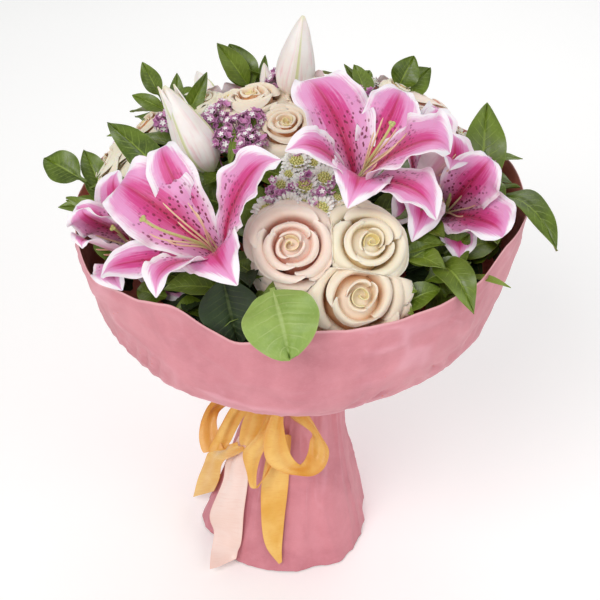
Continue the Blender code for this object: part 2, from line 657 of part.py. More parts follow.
RIBBONS = {
    # rows along the ribbon: one edge (board x, y, distance off the skirt), then the other edge
    "bow_loop_left": ((258, 396, 0.012, 267, 401, 0.005), (234, 405, 0.022, 248, 411, 0.008), (221, 425, 0.030, 237, 428, 0.012),
                      (213, 441, 0.034, 230, 442, 0.016), (204, 453, 0.040, 224, 449, 0.022), (199, 438, 0.046, 218, 431, 0.028),
                      (202, 418, 0.046, 217, 418, 0.030), (212, 402, 0.042, 223, 406, 0.026), (236, 390, 0.030, 244, 396, 0.018),
                      (251, 386, 0.020, 258, 391, 0.010)),
    "bow_loop_middle": ((258, 399, 0.026, 274, 401, 0.024), (247, 412, 0.030, 269, 413, 0.026), (242, 424, 0.034, 263, 427, 0.028),
                        (240, 437, 0.034, 256, 439, 0.028), (241, 445, 0.030, 250, 446, 0.026), (246, 442, 0.023, 256, 441, 0.020),
                        (256, 425, 0.018, 266, 426, 0.016), (264, 408, 0.016, 272, 409, 0.014)),
    "bow_loop_front": ((272, 402, 0.034, 284, 404, 0.032), (266, 418, 0.042, 280, 420, 0.038), (256, 436, 0.046, 272, 440, 0.040),
                       (243, 452, 0.044, 262, 455, 0.036), (247, 474, 0.038, 257, 472, 0.032), (251, 488, 0.030, 257, 488, 0.026),
                       (259, 484, 0.023, 263, 480, 0.021), (266, 472, 0.018, 274, 464, 0.016), (270, 450, 0.014, 281, 448, 0.014),
                       (273, 425, 0.012, 281, 425, 0.012)),
    "bow_loop_right": ((276, 404, 0.048, 286, 404, 0.044), (270, 420, 0.056, 283, 421, 0.050), (264, 440, 0.060, 286, 440, 0.050),
                       (266, 460, 0.058, 290, 453, 0.046), (279, 471, 0.054, 295, 461, 0.042), (296, 475, 0.050, 300, 465, 0.038),
                       (313, 476, 0.046, 304, 461, 0.034), (325, 467, 0.042, 308, 452, 0.028), (329, 451, 0.038, 310, 441, 0.023),
                       (322, 436, 0.033, 311, 433, 0.019), (311, 416, 0.027, 291, 420, 0.014), (300, 404, 0.022, 287, 411, 0.012)),
    "ribbon_tail_left": ((236, 443, 0.018, 246, 450, 0.016), (224, 446, 0.017, 236, 455, 0.014), (212, 451, 0.016, 227, 459, 0.013),
                         (206, 457, 0.014, 222, 463, 0.011), (200, 475, 0.010, 219, 477, 0.009), (193, 497, 0.008, 215, 491, 0.008)),
    "ribbon_tail_right": ((276, 432, 0.006, 291, 436, 0.006), (268, 452, 0.006, 290, 454, 0.006), (263, 475, 0.005, 289, 475, 0.005),
                          (261, 500, 0.005, 287, 498, 0.005), (262, 528, 0.005, 284, 524, 0.005), (267, 549, 0.005, 282, 546, 0.005),
                          (279, 564, 0.005, 282, 562, 0.005)),
    "ribbon_tail_pink": ((240, 436, 0.007, 256, 440, 0.007), (226, 460, 0.007, 245, 462, 0.006), (223, 480, 0.007, 247, 482, 0.005),
                         (209, 513, 0.010, 244, 515, 0.006), (214, 532, 0.012, 241, 542, 0.007), (211, 552, 0.012, 238, 552, 0.010),
                         (210, 570, 0.012, 236, 559, 0.012)),
}


def smooth_rows(points, u):
    k = u * (len(points) - 1)
    i = min(int(k), len(points) - 2)
    t = k - i
    p0, p1 = points[max(i - 1, 0)], points[i]
    p2, p3 = points[i + 1], points[min(i + 2, len(points) - 1)]
    return 0.5 * (2 * p1 + (p2 - p0) * t + (2 * p0 - 5 * p1 + 4 * p2 - p3) * t * t + (3 * p1 - p0 - 3 * p2 + p3) * t**3)


def ribbon_edges(name):
    rows = RIBBONS[name]
    return [on_skirt(*row[:3]) for row in rows], [on_skirt(*row[3:]) for row in rows]


def make_ribbons():
    band = add("ribbon_band", grid("ribbon_band", band_point, 1, 22, True), GOLD_SATIN)
    MADE["ribbon_band"] = baked(thicken(band, RIBBON))
    bpy.ops.mesh.primitive_uv_sphere_add(segments=12, ring_count=6, radius=1.0, location=(-0.006, -NECK_RADIUS - 0.0125, 0.190))
    knot = bpy.context.active_object
    knot.name = "ribbon_knot"
    knot.scale = (0.012, 0.0085, 0.011)
    bpy.ops.object.transform_apply(location=False, rotation=False, scale=True)
    for c in list(knot.users_collection):
        c.objects.unlink(knot)
    BOUQUET.objects.link(knot)
    knot.data.materials.append(GOLD_SATIN)
    MADE["ribbon_knot"] = baked(knot)
    for name in RIBBONS:
        near, far = ribbon_edges(name)

        def place(u, v, near=near, far=far):
            return smooth_rows(near, u) * (1 - v) + smooth_rows(far, u) * v

        look = PEACH_SATIN if name == "ribbon_tail_pink" else GOLD_SATIN
        item = add(name, grid(name, place, 2 * (len(near) - 1), 1), look)
        MADE[name] = baked(thicken(item, RIBBON))


def slab(name, spec, point, along, across, thickness, look, start=0.0):
    mesh = grid(name, lambda u, v: point(spec, start + (1 - start) * u, 2 * v - 1), along, across)
    return thicken(add(name, mesh, look), thickness)


def make_lily(name):
    throat, axis, tepals = lily_tepals(name)
    bpy.ops.mesh.primitive_cone_add(vertices=8, radius1=0.0042, radius2=0.0120, depth=0.034, end_fill_type="NGON",
                                    location=throat - axis * 0.014, rotation=Vector(axis).to_track_quat("Z", "Y").to_euler())
    tube_part = bpy.context.active_object
    tube_part.name = name + "_throat"
    for c in list(tube_part.users_collection):
        c.objects.unlink(tube_part)
    BOUQUET.objects.link(tube_part)
    others = [baked(slab(f"{name}_tepal_{i}", spec, tepal_point, 4, 2, TEPAL, LILY_PINK, 0.08)) for i, spec in enumerate(tepals)]
    MADE[name] = joined(name, baked(tube_part), others, LILY_PINK)


def make_turned(name, profile, place, axis, steps, look):
    """A turned solid: the profile's (radius, height) rows spun by a Screw modifier."""
    mesh = bpy.data.meshes.new(name)
    shape = bmesh.new()
    rows = [shape.verts.new((r, 0, h)) for r, h in profile]
    for a, b in zip(rows, rows[1:]):
        shape.edges.new((a, b))
    shape.to_mesh(mesh)
    shape.free()
    item = add(name, mesh, look)
    screw = item.modifiers.new("turn", "SCREW")
    screw.steps = screw.render_steps = steps
    screw.use_merge_vertices = True
    screw.merge_threshold = 0.00005
    item.location = place
    item.rotation_euler = Vector(axis).to_track_quat("Z", "Y").to_euler()
    return baked(item)


def make_rose(name):
    centre, r, _ = ROSES[name]
    profile = ((0.0, 0.62 * r), (0.30 * r, 0.66 * r), (0.62 * r, 0.62 * r), (0.98 * r, 0.20 * r), (0.86 * r, -0.34 * r),
               (0.42 * r, -0.86 * r), (0.0044, -0.98 * r), (0.0034, -0.98 * r - 0.010), (0.0, -0.98 * r - 0.010))
    look = ROSE_BLUSH if "blush" in name else ROSE_CREAM
    MADE[name] = make_turned(name, profile, centre, rose_axis(name), 12, look)


def make_bud(name):
    base, tip, width = BUDS[name]
    length = float(np.linalg.norm(tip - base))
    rows = ((0.0, 1.0), (0.12, 0.93), (0.27, 0.80), (0.42, 0.60), (0.50, 0.38), (0.44, 0.17), (0.20, 0.03), (0.10, -0.04), (0.0, -0.04))
    MADE[name] = make_turned(name, [(r * width, h * length) for r, h in rows], base, unit(tip - base), 10, BUD_WHITE)


def make_spray(name, heads, radius, flat, look):
    hub = np.mean(heads, axis=0)
    hub = hub - outward(hub) * 0.050
    parts = []
    for i, p in enumerate(heads):
        bpy.ops.mesh.primitive_uv_sphere_add(segments=6, ring_count=4, radius=radius, location=p,
                                             rotation=Vector(outward(p)).to_track_quat("Z", "Y").to_euler())
        ball = bpy.context.active_object
        ball.name = f"{name}_{i}"
        ball.scale = (1, 1, flat)
        for c in list(ball.users_collection):
            c.objects.unlink(ball)
        BOUQUET.objects.link(ball)
        parts.append(baked(ball))
        parts.append(lift(tube(f"{name}_branch_{i}", [hub - outward(hub) * 0.004 + 0.0002 * i, hub + (p - hub) * 0.5 - np.array((0, 0, 0.006)), p], 0.0026, look, 0)))
    MADE[name] = joined(name, parts[0], parts[1:], look)
    return hub


def make_stem(name, heads, ring, slot, spread, diameter):
    """One stem, with a branch for each further head."""
    head, axis = heads[0]
    route = stem_route(head, axis, ring, slot, spread)
    main = lift(tube(name, route, diameter, STEM_GREEN))
    branches = []
    for i, (other, direction) in enumerate(heads[1:]):
        start = route[5 + i % 2]
        reach = np.linalg.norm(other - start)
        curve = (start, start + (route[7] - route[5]) * 0.8, other - direction * reach * 0.4, other)
        branches.append(lift(tube(f"{name}_branch_{i}", [bezier(curve, k / 6) for k in range(7)], diameter * 0.68, STEM_GREEN)))
    if branches:
        main = joined(name, main, branches, STEM_GREEN)
    main.name = name
    level(main)
    MADE[name] = main


def level(item):
    for v in item.data.vertices:  # the cut end lies flat on the floor
        if v.co.z < 0.0006:
            v.co.z = 0.0


def twig_route(name):
    end, _ = TWIGS[name]
    inner = unit(end - np.array((0, 0, 0.17)))
    return stem_route(end, inner, TWIG_RING, TWIG_PLACES[name], 0.068)


def twig_leaf(name, i):
    place, tip, width, face, sag = TWIGS[name][1][i]
    base = smooth_rows([np.array(p) for p in twig_route(name)[5:]], place)
    return leaf(base, tip, width, face, sag, 0.14)


def make_twig(name):
    made = lift(tube(name, twig_route(name), TWIG, LEAF_GREEN, 0))
    level(made)
    MADE[name] = made


def add_leaves(name, keepers):
    """Each leaf of the twig is cut back where it meets other pieces, and then joined to the twig."""
    for i in range(len(TWIGS[name][1])):
        spec = twig_leaf(name, i)
        blade = baked(slab(f"{name}_leaf_{i}", spec, leaf_point, 4, 2, LEAF, LEAF_GREEN))
        blade = trim(blade, keepers, spec["curve"][0])
        before = MADE[name].data.copy()
        MADE[name] = joined(name, MADE[name], [blade], LEAF_GREEN)
        one_piece(MADE[name].data)
        if volume(MADE[name].data) < volume(before):
            MADE[name].data = before


def lily_base(name):
    axis = unit(LILIES[name][1])
    return lily_throat(name) - axis * 0.0316, axis


def rose_base(name):
    centre, r, _ = ROSES[name]
    axis = rose_axis(name)
    return centre - axis * (0.98 * r + 0.0106), axis


def bud_base(name):
    base, tip, width = BUDS[name]
    axis = unit(tip - base)
    return base - axis * (0.04 * float(np.linalg.norm(tip - base)) + 0.0006), axis


def spray_base(heads):
    hub = np.mean(heads, axis=0)
    hub = hub - outward(hub) * 0.050
    return hub - outward(hub) * 0.0066, outward(hub)


def make_all():
    make_wraps()
    make_tie()
    make_ribbons()
    for name in LILIES:
        make_lily(name)
    for name in ROSES:
        make_rose(name)
    for name in BUDS:
        make_bud(name)
    make_spray("chrysanthemum_front", SANTINI_FRONT, 0.0125, 0.62, DAISY_WHITE)
    make_spray("chrysanthemum_back", SANTINI_BACK, 0.0130, 0.62, DAISY_WHITE)
    make_spray("statice_left", STATICE_LEFT, 0.0105, 0.8, STATICE_MAUVE)
    make_spray("statice_back", STATICE_BACK, 0.0105, 0.8, STATICE_MAUVE)
    for name, spec in SINGLE_LEAVES.items():
        look = LEAF_PALE if name == "leaf_round_front" else LEAF_GREEN
        MADE[name] = baked(slab(name, spec, leaf_point, 6, 2, LEAF, look))
    lilies = {"stem_lily_left": [lily_base("lily_a"), lily_base("lily_c"), bud_base("lily_bud_left")],
              "stem_lily_right": [lily_base("lily_b"), lily_base("lily_d"), lily_base("lily_e")],
              "stem_lily_back": [lily_base("lily_g"), lily_base("lily_f"), bud_base("lily_bud_top"), bud_base("lily_bud_back")]}
    roses = {"stem_" + name: [rose_base(name)] for name in ROSES}
    sprays = {"stem_chrysanthemum_front": [spray_base(SANTINI_FRONT)], "stem_chrysanthemum_back": [spray_base(SANTINI_BACK)],
              "stem_statice_left": [spray_base(STATICE_LEFT)], "stem_statice_back": [spray_base(STATICE_BACK)]}
    stems = {**lilies, **roses, **sprays}
    for ring, spread, places in STEM_RINGS:
        for name, place in places.items():
            thick = LILY_STEM if name in lilies else ROSE_STEM if name in roses else SPRAY_STEM
            make_stem(name, stems[name], ring, place, spread, thick)
    for name in TWIGS:
        make_twig(name)


make_all()

FIXED = [n for n in MADE if n.startswith(("wrap", "binding", "ribbon", "bow", "stem", "foliage"))]
ORDER = FIXED + [n for n in MADE if n.startswith("rose")] + [n for n in MADE if n.startswith("lily")] + \
    [n for n in MADE if n.startswith(("chrys", "statice"))] + [n for n in MADE if n.startswith("leaf")]
for place, name in enumerate(ORDER):
    if name not in FIXED:
        MADE[name] = trim(MADE[name], [MADE[other] for other in ORDER[:place]])
for name in TWIGS:
    add_leaves(name, [item for other, item in MADE.items() if other != name])

for name, item in MADE.items():
    item.parent = ROOT
    item.data.shade_smooth()
    item.data.set_sharp_from_angle(angle=math.radians(50))
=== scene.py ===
"""Looks of the flower bouquet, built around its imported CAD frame: creased paper wrap, satin bow, lilies,
roses, small filler flowers, foliage and stems, all modelled in mesh code and coloured by node materials."""

import math

import bpy
import numpy as np
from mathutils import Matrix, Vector

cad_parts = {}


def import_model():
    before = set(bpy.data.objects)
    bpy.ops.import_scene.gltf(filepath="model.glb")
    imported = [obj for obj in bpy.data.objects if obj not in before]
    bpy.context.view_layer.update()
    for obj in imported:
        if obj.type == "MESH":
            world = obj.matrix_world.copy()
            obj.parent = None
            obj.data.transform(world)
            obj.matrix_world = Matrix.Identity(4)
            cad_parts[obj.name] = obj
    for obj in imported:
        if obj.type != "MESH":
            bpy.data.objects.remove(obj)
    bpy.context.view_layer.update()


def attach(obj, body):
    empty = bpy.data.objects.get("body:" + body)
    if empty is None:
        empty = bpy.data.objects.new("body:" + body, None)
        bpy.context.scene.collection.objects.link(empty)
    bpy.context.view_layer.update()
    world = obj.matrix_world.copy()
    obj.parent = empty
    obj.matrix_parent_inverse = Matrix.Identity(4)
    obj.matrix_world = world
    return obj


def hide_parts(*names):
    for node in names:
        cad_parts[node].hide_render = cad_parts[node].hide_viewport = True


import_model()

# The first part of this file repeats the layout of the CAD model, in metres and before FRAME_SHIFT.
# ---------------------------------------------------------------- driving dimensions (metres)
RIM_RADIUS = 0.195  # upper edge of the paper bowl
SHOULDER_RADIUS = 0.184  # widest part below the rim, where the bowl turns in
SHOULDER_Z = 0.283
NECK_RADIUS = 0.0375  # paper sleeve at the tie
NECK_Z = 0.200
HEM_RADIUS = 0.086  # skirt on the floor
HEM_CENTRE = (-0.015, -0.020)
PAPER = 0.0010
TIE_RADIUS = 0.0345
RIBBON_WIDTH = 0.025
RIBBON = 0.0009
LILY_STEM, ROSE_STEM, SPRAY_STEM, TWIG = 0.0085, 0.0065, 0.0045, 0.0034  # diameters
LEAF = 0.0012
TEPAL = 0.0015
DOME_CENTRE = np.array((0.0, 0.0, 0.33))  # the flower heads follow this flattened ball
DOME = np.array((0.19, 0.19, 0.13))
FRAME_SHIFT = (0.0070, 0.0057, 0.0)  # brings the middle of the footprint box to the origin
GAP = 0.0004

# The layout is drawn on a 600-unit square board, looked at from the front and 36 degrees above.
BOARD_TILT = math.radians(36)
BOARD_TARGET = np.array((0.0, 0.0, 0.26))
BOARD_DISTANCE = 1.10
BOARD_SCALE = 1177.0
BOARD_RIGHT = np.array((1.0, 0.0, 0.0))
BOARD_UP = np.array((0.0, math.sin(BOARD_TILT), math.cos(BOARD_TILT)))
BOARD_IN = np.array((0.0, math.cos(BOARD_TILT), -math.sin(BOARD_TILT)))
EYE = BOARD_TARGET - BOARD_DISTANCE * BOARD_IN


def unit(v):
    v = np.asarray(v, float)
    return v / max(np.linalg.norm(v), 1e-9)


def sight(bx, by):
    return BOARD_IN + BOARD_RIGHT * (bx - 300) / BOARD_SCALE + BOARD_UP * (300 - by) / BOARD_SCALE


def at_y(bx, by, y):
    """The point seen at (bx, by) on the board that lies in the plane of this y."""
    d = sight(bx, by)
    return EYE + d * (y - EYE[1]) / d[1]


def on_dome(bx, by, size=1.0):
    d = sight(bx, by) / (DOME * size)
    o = (EYE - DOME_CENTRE) / (DOME * size)
    b, a, c = o @ d, d @ d, o @ o - 1
    root = b * b - a * c
    return EYE + sight(bx, by) * ((-b - math.sqrt(max(root, 0.0))) / a)


def dome_at(azimuth, elevation, size=1.0):
    a, e = math.radians(azimuth), math.radians(elevation)
    return DOME_CENTRE + DOME * size * np.array((math.cos(a) * math.cos(e), math.sin(a) * math.cos(e), math.sin(e)))


def outward(p):
    return unit((p - DOME_CENTRE) / DOME**2)


def at_chord(bx, by, start, chord, axis, rise=0.04):
    """The point seen at (bx, by) that is a chord away from start, on the side nearer the wanted rise."""
    d = unit(sight(bx, by))
    o = EYE - start
    b, c = o @ d, o @ o - chord * chord
    root = b * b - c
    if root <= 0:
        return EYE - d * b
    found = [EYE + d * (-b + s * math.sqrt(root)) for s in (-1, 1)]
    return min(found, key=lambda p: abs((p - start) @ axis - rise))


def bezier(points, t):
    a, b, c, d = (np.asarray(p, float) for p in points)
    s = 1 - t
    return a * s**3 + 3 * b * s * s * t + 3 * c * s * t * t + d * t**3


def bezier_slope(points, t):
    a, b, c, d = (np.asarray(p, float) for p in points)
    s = 1 - t
    return 3 * (b - a) * s * s + 6 * (c - b) * s * t + 3 * (d - c) * t * t


def smooth_table(table, a):
    """A value round the circle, eased between the table's (degrees, value) rows."""
    a = a % 360.0
    rows = sorted((k % 360.0, v) for k, v in table)
    rows = [(rows[-1][0] - 360.0, rows[-1][1])] + rows + [(rows[0][0] + 360.0, rows[0][1])]
    for (a0, v0), (a1, v1) in zip(rows, rows[1:]):
        if a0 <= a <= a1:
            t = (a - a0) / max(a1 - a0, 1e-6)
            t = t * t * (3 - 2 * t)
            return v0 + (v1 - v0) * t
    return rows[0][1]


# ---------------------------------------------------------------- the paper wrap
RIM_Z = ((180, 0.366), (195, 0.361), (210, 0.355), (225, 0.368), (240, 0.378), (256, 0.361), (274, 0.373),
         (300, 0.375), (315, 0.379), (328, 0.390), (342, 0.390), (360, 0.376), (15, 0.380), (45, 0.378),
         (90, 0.374), (135, 0.376), (160, 0.372))


def collar_point(azimuth, t):
    """t runs from 0 at the rim, over the shoulder, to 1 at the neck."""
    rim = smooth_table(RIM_Z, azimuth)
    profile = ((0.00, RIM_RADIUS, rim), (0.16, 0.193, rim - 0.035), (0.30, 0.189, SHOULDER_Z + 0.022),
               (0.40, SHOULDER_RADIUS, SHOULDER_Z - 0.001), (0.47, 0.170, 0.268), (0.60, 0.128, 0.2445),
               (0.74, 0.082, 0.2200), (0.86, 0.0475, 0.2040), (0.92, NECK_RADIUS + 0.0035, 0.2005),
               (1.00, NECK_RADIUS, 0.1965))
    for (t0, r0, z0), (t1, r1, z1) in zip(profile, profile[1:]):
        if t <= t1:
            k = (t - t0) / (t1 - t0)
            r, z = r0 + (r1 - r0) * k, z0 + (z1 - z0) * k
            break
    a = math.radians(azimuth)
    return np.array((r * math.cos(a), r * math.sin(a), z))


def skirt_radius(z):
    """Half width of the skirt at this height: a sleeve at the neck, flaring to the hem."""
    k = min(max(1 - z / 0.186, 0.0), 1.0)
    return NECK_RADIUS - 0.0005 + (HEM_RADIUS - NECK_RADIUS) * (0.60 * k + 0.40 * k**2.2) * (1 - 0.06 * k**6)


def skirt_centre(z):
    k = min(max(1 - z / 0.186, 0.0), 1.0)
    return np.array((HEM_CENTRE[0] * k, HEM_CENTRE[1] * k))


def skirt_point(azimuth, t):
    z = (0.191, 0.182, 0.165, 0.132, 0.092, 0.048, 0.0)[round(t * 6)]
    a = math.radians(azimuth)
    r = skirt_radius(z)
    c = skirt_centre(z)
    return np.array((c[0] + r * math.cos(a), c[1] + r * math.sin(a), z))


def on_skirt(bx, by, off):
    """The point seen at (bx, by) that lies off metres outside the skirt's front, or before its outline."""
    d = unit(sight(bx, by))
    best, depth = 1e9, 1.08
    for step in range(200):
        reach = 0.88 + 0.40 * step / 199
        p = EYE + d * reach
        c = skirt_centre(p[2])
        miss = math.hypot(p[0] - c[0], p[1] - c[1]) - skirt_radius(p[2])
        if p[2] < 0.0022:
            break
        if miss < best:
            best, depth = miss, reach
        if miss <= off:
            return p
    return EYE + d * (depth - max(off - 0.004, 0.0))


# ---------------------------------------------------------------- flowers
def tepal(start, axis, tip, width, arch=0.30, curl=0.30, side=None):
    """One lily tepal: a curve in the plane of the flower's axis and the tip, with its width across it."""
    chord = np.linalg.norm(tip - start)
    radial = unit((tip - start) - axis * ((tip - start) @ axis))
    curve = (start, start + chord * (arch * axis + 0.14 * radial),
             tip + chord * (0.5 * curl * axis - curl * radial), tip)
    return {"curve": curve, "side": unit(np.cross(axis, radial)) if side is None else unit(side), "width": width}


def tepal_width(t):
    return (0.16 + 0.84 * math.sin(math.pi * min(t / 0.60, 1.0) / 2) ** 1.2) * (1 - max(t - 0.55, 0.0) ** 2.2 / 0.45**2.2 * 0.97)


def tepal_point(spec, u, v):
    p = bezier(spec["curve"], u)
    normal = unit(np.cross(bezier_slope(spec["curve"], u), spec["side"]))
    half = spec["width"] / 2 * tepal_width(u)
    return p + spec["side"] * half * v + normal * half * 0.18 * v * v


LILIES = {
    # throat on the dome (board x, y, size), axis, tepals (board x, y, chord, width, arch, curl)
    "lily_a": ((219, 254, 1.00), (-0.41, -0.30, 0.86), (
        (160, 139, 0.100, 0.038, 0.30, 0.28), (281, 153, 0.098, 0.050, 0.30, 0.28),
        (114, 181, 0.100, 0.064, 0.28, 0.26), (94, 274, 0.100, 0.036, 0.26, 0.30),
        (151, 297, 0.088, 0.038, 0.30, 0.34), (236, 284, 0.066, 0.048, 0.40, 0.50))),
    "lily_b": ((357, 181, 1.00), (0.20, -0.35, 0.91), (
        (303, 74, 0.100, 0.062, 0.30, 0.26), (283, 147, 0.086, 0.038, 0.32, 0.34),
        (404, 84, 0.094, 0.044, 0.28, 0.28), (456, 150, 0.098, 0.060, 0.30, 0.26),
        (441, 218, 0.090, 0.044, 0.32, 0.34), (348, 207, 0.060, 0.048, 0.42, 0.50))),
    "lily_c": ((132, 247, 0.90), (-0.42, -0.62, 0.66), (
        (80, 204, 0.074, 0.040, 0.26, 0.24), (78, 250, 0.070, 0.030, 0.26, 0.30),
        (120, 292, 0.064, 0.040, 0.30, 0.40), (188, 304, 0.074, 0.030, 0.30, 0.40))),
    "lily_d": ((423, 184, 0.90), (0.40, -0.18, 0.90), (
        (438, 101, 0.090, 0.034, 0.30, 0.28), (452, 168, 0.060, 0.040, 0.40, 0.34),
        (414, 240, 0.072, 0.036, 0.34, 0.44), (394, 224, 0.060, 0.034, 0.34, 0.44))),
    "lily_e": ((444, 212, 0.86), (0.18, -0.62, 0.76), (
        (506, 238, 0.080, 0.056, 0.22, 0.20), (494, 154, 0.080, 0.046, 0.24, 0.24),
        (460, 262, 0.056, 0.034, 0.30, 0.34))),
    "lily_f": (None, (-0.15, 0.60, 0.78), (
        (214, 92, 0.056, 0.036, 0.30, 0.30), (246, 92, 0.056, 0.036, 0.30, 0.30))),
    "lily_g": (None, (0.08, 0.55, 0.83), ()),
}
BACK_THROATS = {"lily_f": np.array((-0.050, 0.098, 0.386)), "lily_g": np.array((0.030, 0.132, 0.372))}


def lily_throat(name):
    return BACK_THROATS[name] if name in BACK_THROATS else on_dome(*LILIES[name][0])


def ring_tip(throat, axis, turn, chord=0.090, rise=0.040):
    """A tip round the axis, for tepals that the front view doesn't show."""
    across = unit(np.cross(axis, (0, 0, 1)))
    up = unit(np.cross(across, axis))
    out = math.sqrt(chord * chord - rise * rise)
    a = math.radians(turn)
    return throat + axis * rise + (across * math.cos(a) + up * math.sin(a)) * out


# tepals that the front view hides: turn round the axis in degrees, chord, width, and rise where it isn't 40 mm
HIDDEN_TEPALS = {
    "lily_c": ((75, 0.070, 0.036), (20, 0.060, 0.030)),
    "lily_d": ((95, 0.070, 0.034), (150, 0.070, 0.034)),
    "lily_e": ((100, 0.070, 0.036), (165, 0.056, 0.032)),
    "lily_f": ((-15, 0.056, 0.032), (45, 0.056, 0.036), (105, 0.056, 0.030), (170, 0.056, 0.034)),
    "lily_g": ((10, 0.080, 0.048), (70, 0.066, 0.034), (130, 0.066, 0.048), (190, 0.080, 0.034),
               (250, 0.080, 0.046, 0.052), (310, 0.080, 0.034, 0.052)),
}


def lily_tepals(name):
    _, axis, rows = LILIES[name]
    axis = unit(axis)
    throat = lily_throat(name)
    start = throat - axis * 0.012
    made = [tepal(start, axis, at_chord(bx, by, throat, chord, axis), width, arch, curl)
            for bx, by, chord, width, arch, curl in rows]
    made += [tepal(start, axis, ring_tip(throat, axis, turn, chord, *rise), width)
             for turn, chord, width, *rise in HIDDEN_TEPALS.get(name, ())]
    return throat, axis, made


ROSES = {
    # centre, radius, lean of the axis away from the dome's own direction
    "rose_blush_front": (on_dome(296, 248, 0.94), 0.0315, (0.0, -0.10, 0.0)),
    "rose_cream_front": (on_dome(361, 247, 0.94), 0.0285, (0.0, -0.10, 0.0)),
    "rose_cream_low": (on_dome(352, 301, 0.90), 0.0330, (0.0, -0.10, 0.20)),
    "rose_cream_left": (on_dome(115, 180, 0.92), 0.0280, (0.0, -0.10, 0.0)),
    "rose_peach_top": (on_dome(285, 131, 0.93), 0.0215, (-0.1, -0.30, 0.0)),
    "rose_cream_top": (on_dome(256, 107, 0.95), 0.0240, (0.0, 0.0, 0.0)),
    "rose_blush_back": (dome_at(38, 34, 0.93), 0.0310, (0.0, 0.0, 0.0)),
    "rose_cream_back": (dome_at(138, 30, 0.93), 0.0310, (0.0, 0.0, 0.0)),
}


def rose_axis(name):
    centre, _, lean = ROSES[name]
    return unit(outward(centre) + np.array(lean))


BUDS = {
    # base, tip, greatest diameter
    "lily_bud_top": (at_y(291, 96, 0.035), at_y(303, 16, 0.030), 0.034),
    "lily_bud_left": (at_y(212, 172, -0.045), at_y(164, 86, -0.030), 0.035),
    "lily_bud_back": (np.array((-0.086, 0.158, 0.380)), np.array((-0.104, 0.208, 0.394)), 0.024),
}

SANTINI_FRONT = tuple(on_dome(bx, by, 0.97) for bx, by in (
    (297, 163), (324, 180), (305, 187), (288, 207), (321, 210), (330, 229), (268, 212)))
SANTINI_BACK = (on_dome(366, 84, 0.97), dome_at(60, 52, 0.97), dome_at(20, 44, 0.95))
STATICE_LEFT = tuple(on_dome(bx, by, 0.99) for bx, by in (
    (206, 128), (222, 114), (238, 128), (224, 142), (248, 142), (254, 122)))
STATICE_BACK = (on_dome(278, 84, 1.0), on_dome(302, 88, 1.0), dome_at(100, 60, 0.98), dome_at(165, 50, 0.98))


# ---------------------------------------------------------------- leaves
def leaf(base, tip, width, face, sag=0.10, petiole=0.18):
    """One leaf from base to tip. face is roughly where its upper side looks; sag bows it that way."""
    base, tip, face = np.asarray(base, float), np.asarray(tip, float), unit(face)
    along = unit(tip - base)
    face = unit(face - along * (face @ along))
    length = np.linalg.norm(tip - base)
    curve = (base, base + along * length * 0.33 + face * sag * length * 1.3,
             base + along * length * 0.68 + face * sag * length * 1.3, tip)
    return {"curve": curve, "side": unit(np.cross(along, face)), "width": width, "petiole": petiole}


def leaf_width(t, petiole):
    stalk = 0.10 + 0.02 * (1 - t)
    if t <= petiole:
        return stalk
    k = (t - petiole) / (1 - petiole)
    return max(stalk * (1 - k), math.sin(math.pi * k**0.82) ** 0.85)


def leaf_point(spec, u, v):
    p = bezier(spec["curve"], u)
    normal = unit(np.cross(spec["side"], bezier_slope(spec["curve"], u)))
    half = spec["width"] / 2 * leaf_width(u, spec["petiole"])
    return p + spec["side"] * half * v + normal * half * 0.22 * abs(v)


SINGLE_LEAVES = {
    "leaf_round_front": leaf(at_y(272, 288, -0.176), at_y(290, 360, -0.222), 0.060, (0.0, -0.9, 0.5), 0.16, 0.06),
    "leaf_lily_front": leaf(at_y(222, 276, -0.160), at_y(238, 344, -0.181), 0.046, (-0.1, -0.6, 0.8), 0.10, 0.05),
    "leaf_lily_left": leaf(at_y(178, 192, -0.070), at_y(107, 122, 0.000), 0.027, (0.1, -0.6, 0.7), 0.06, 0.05),
}

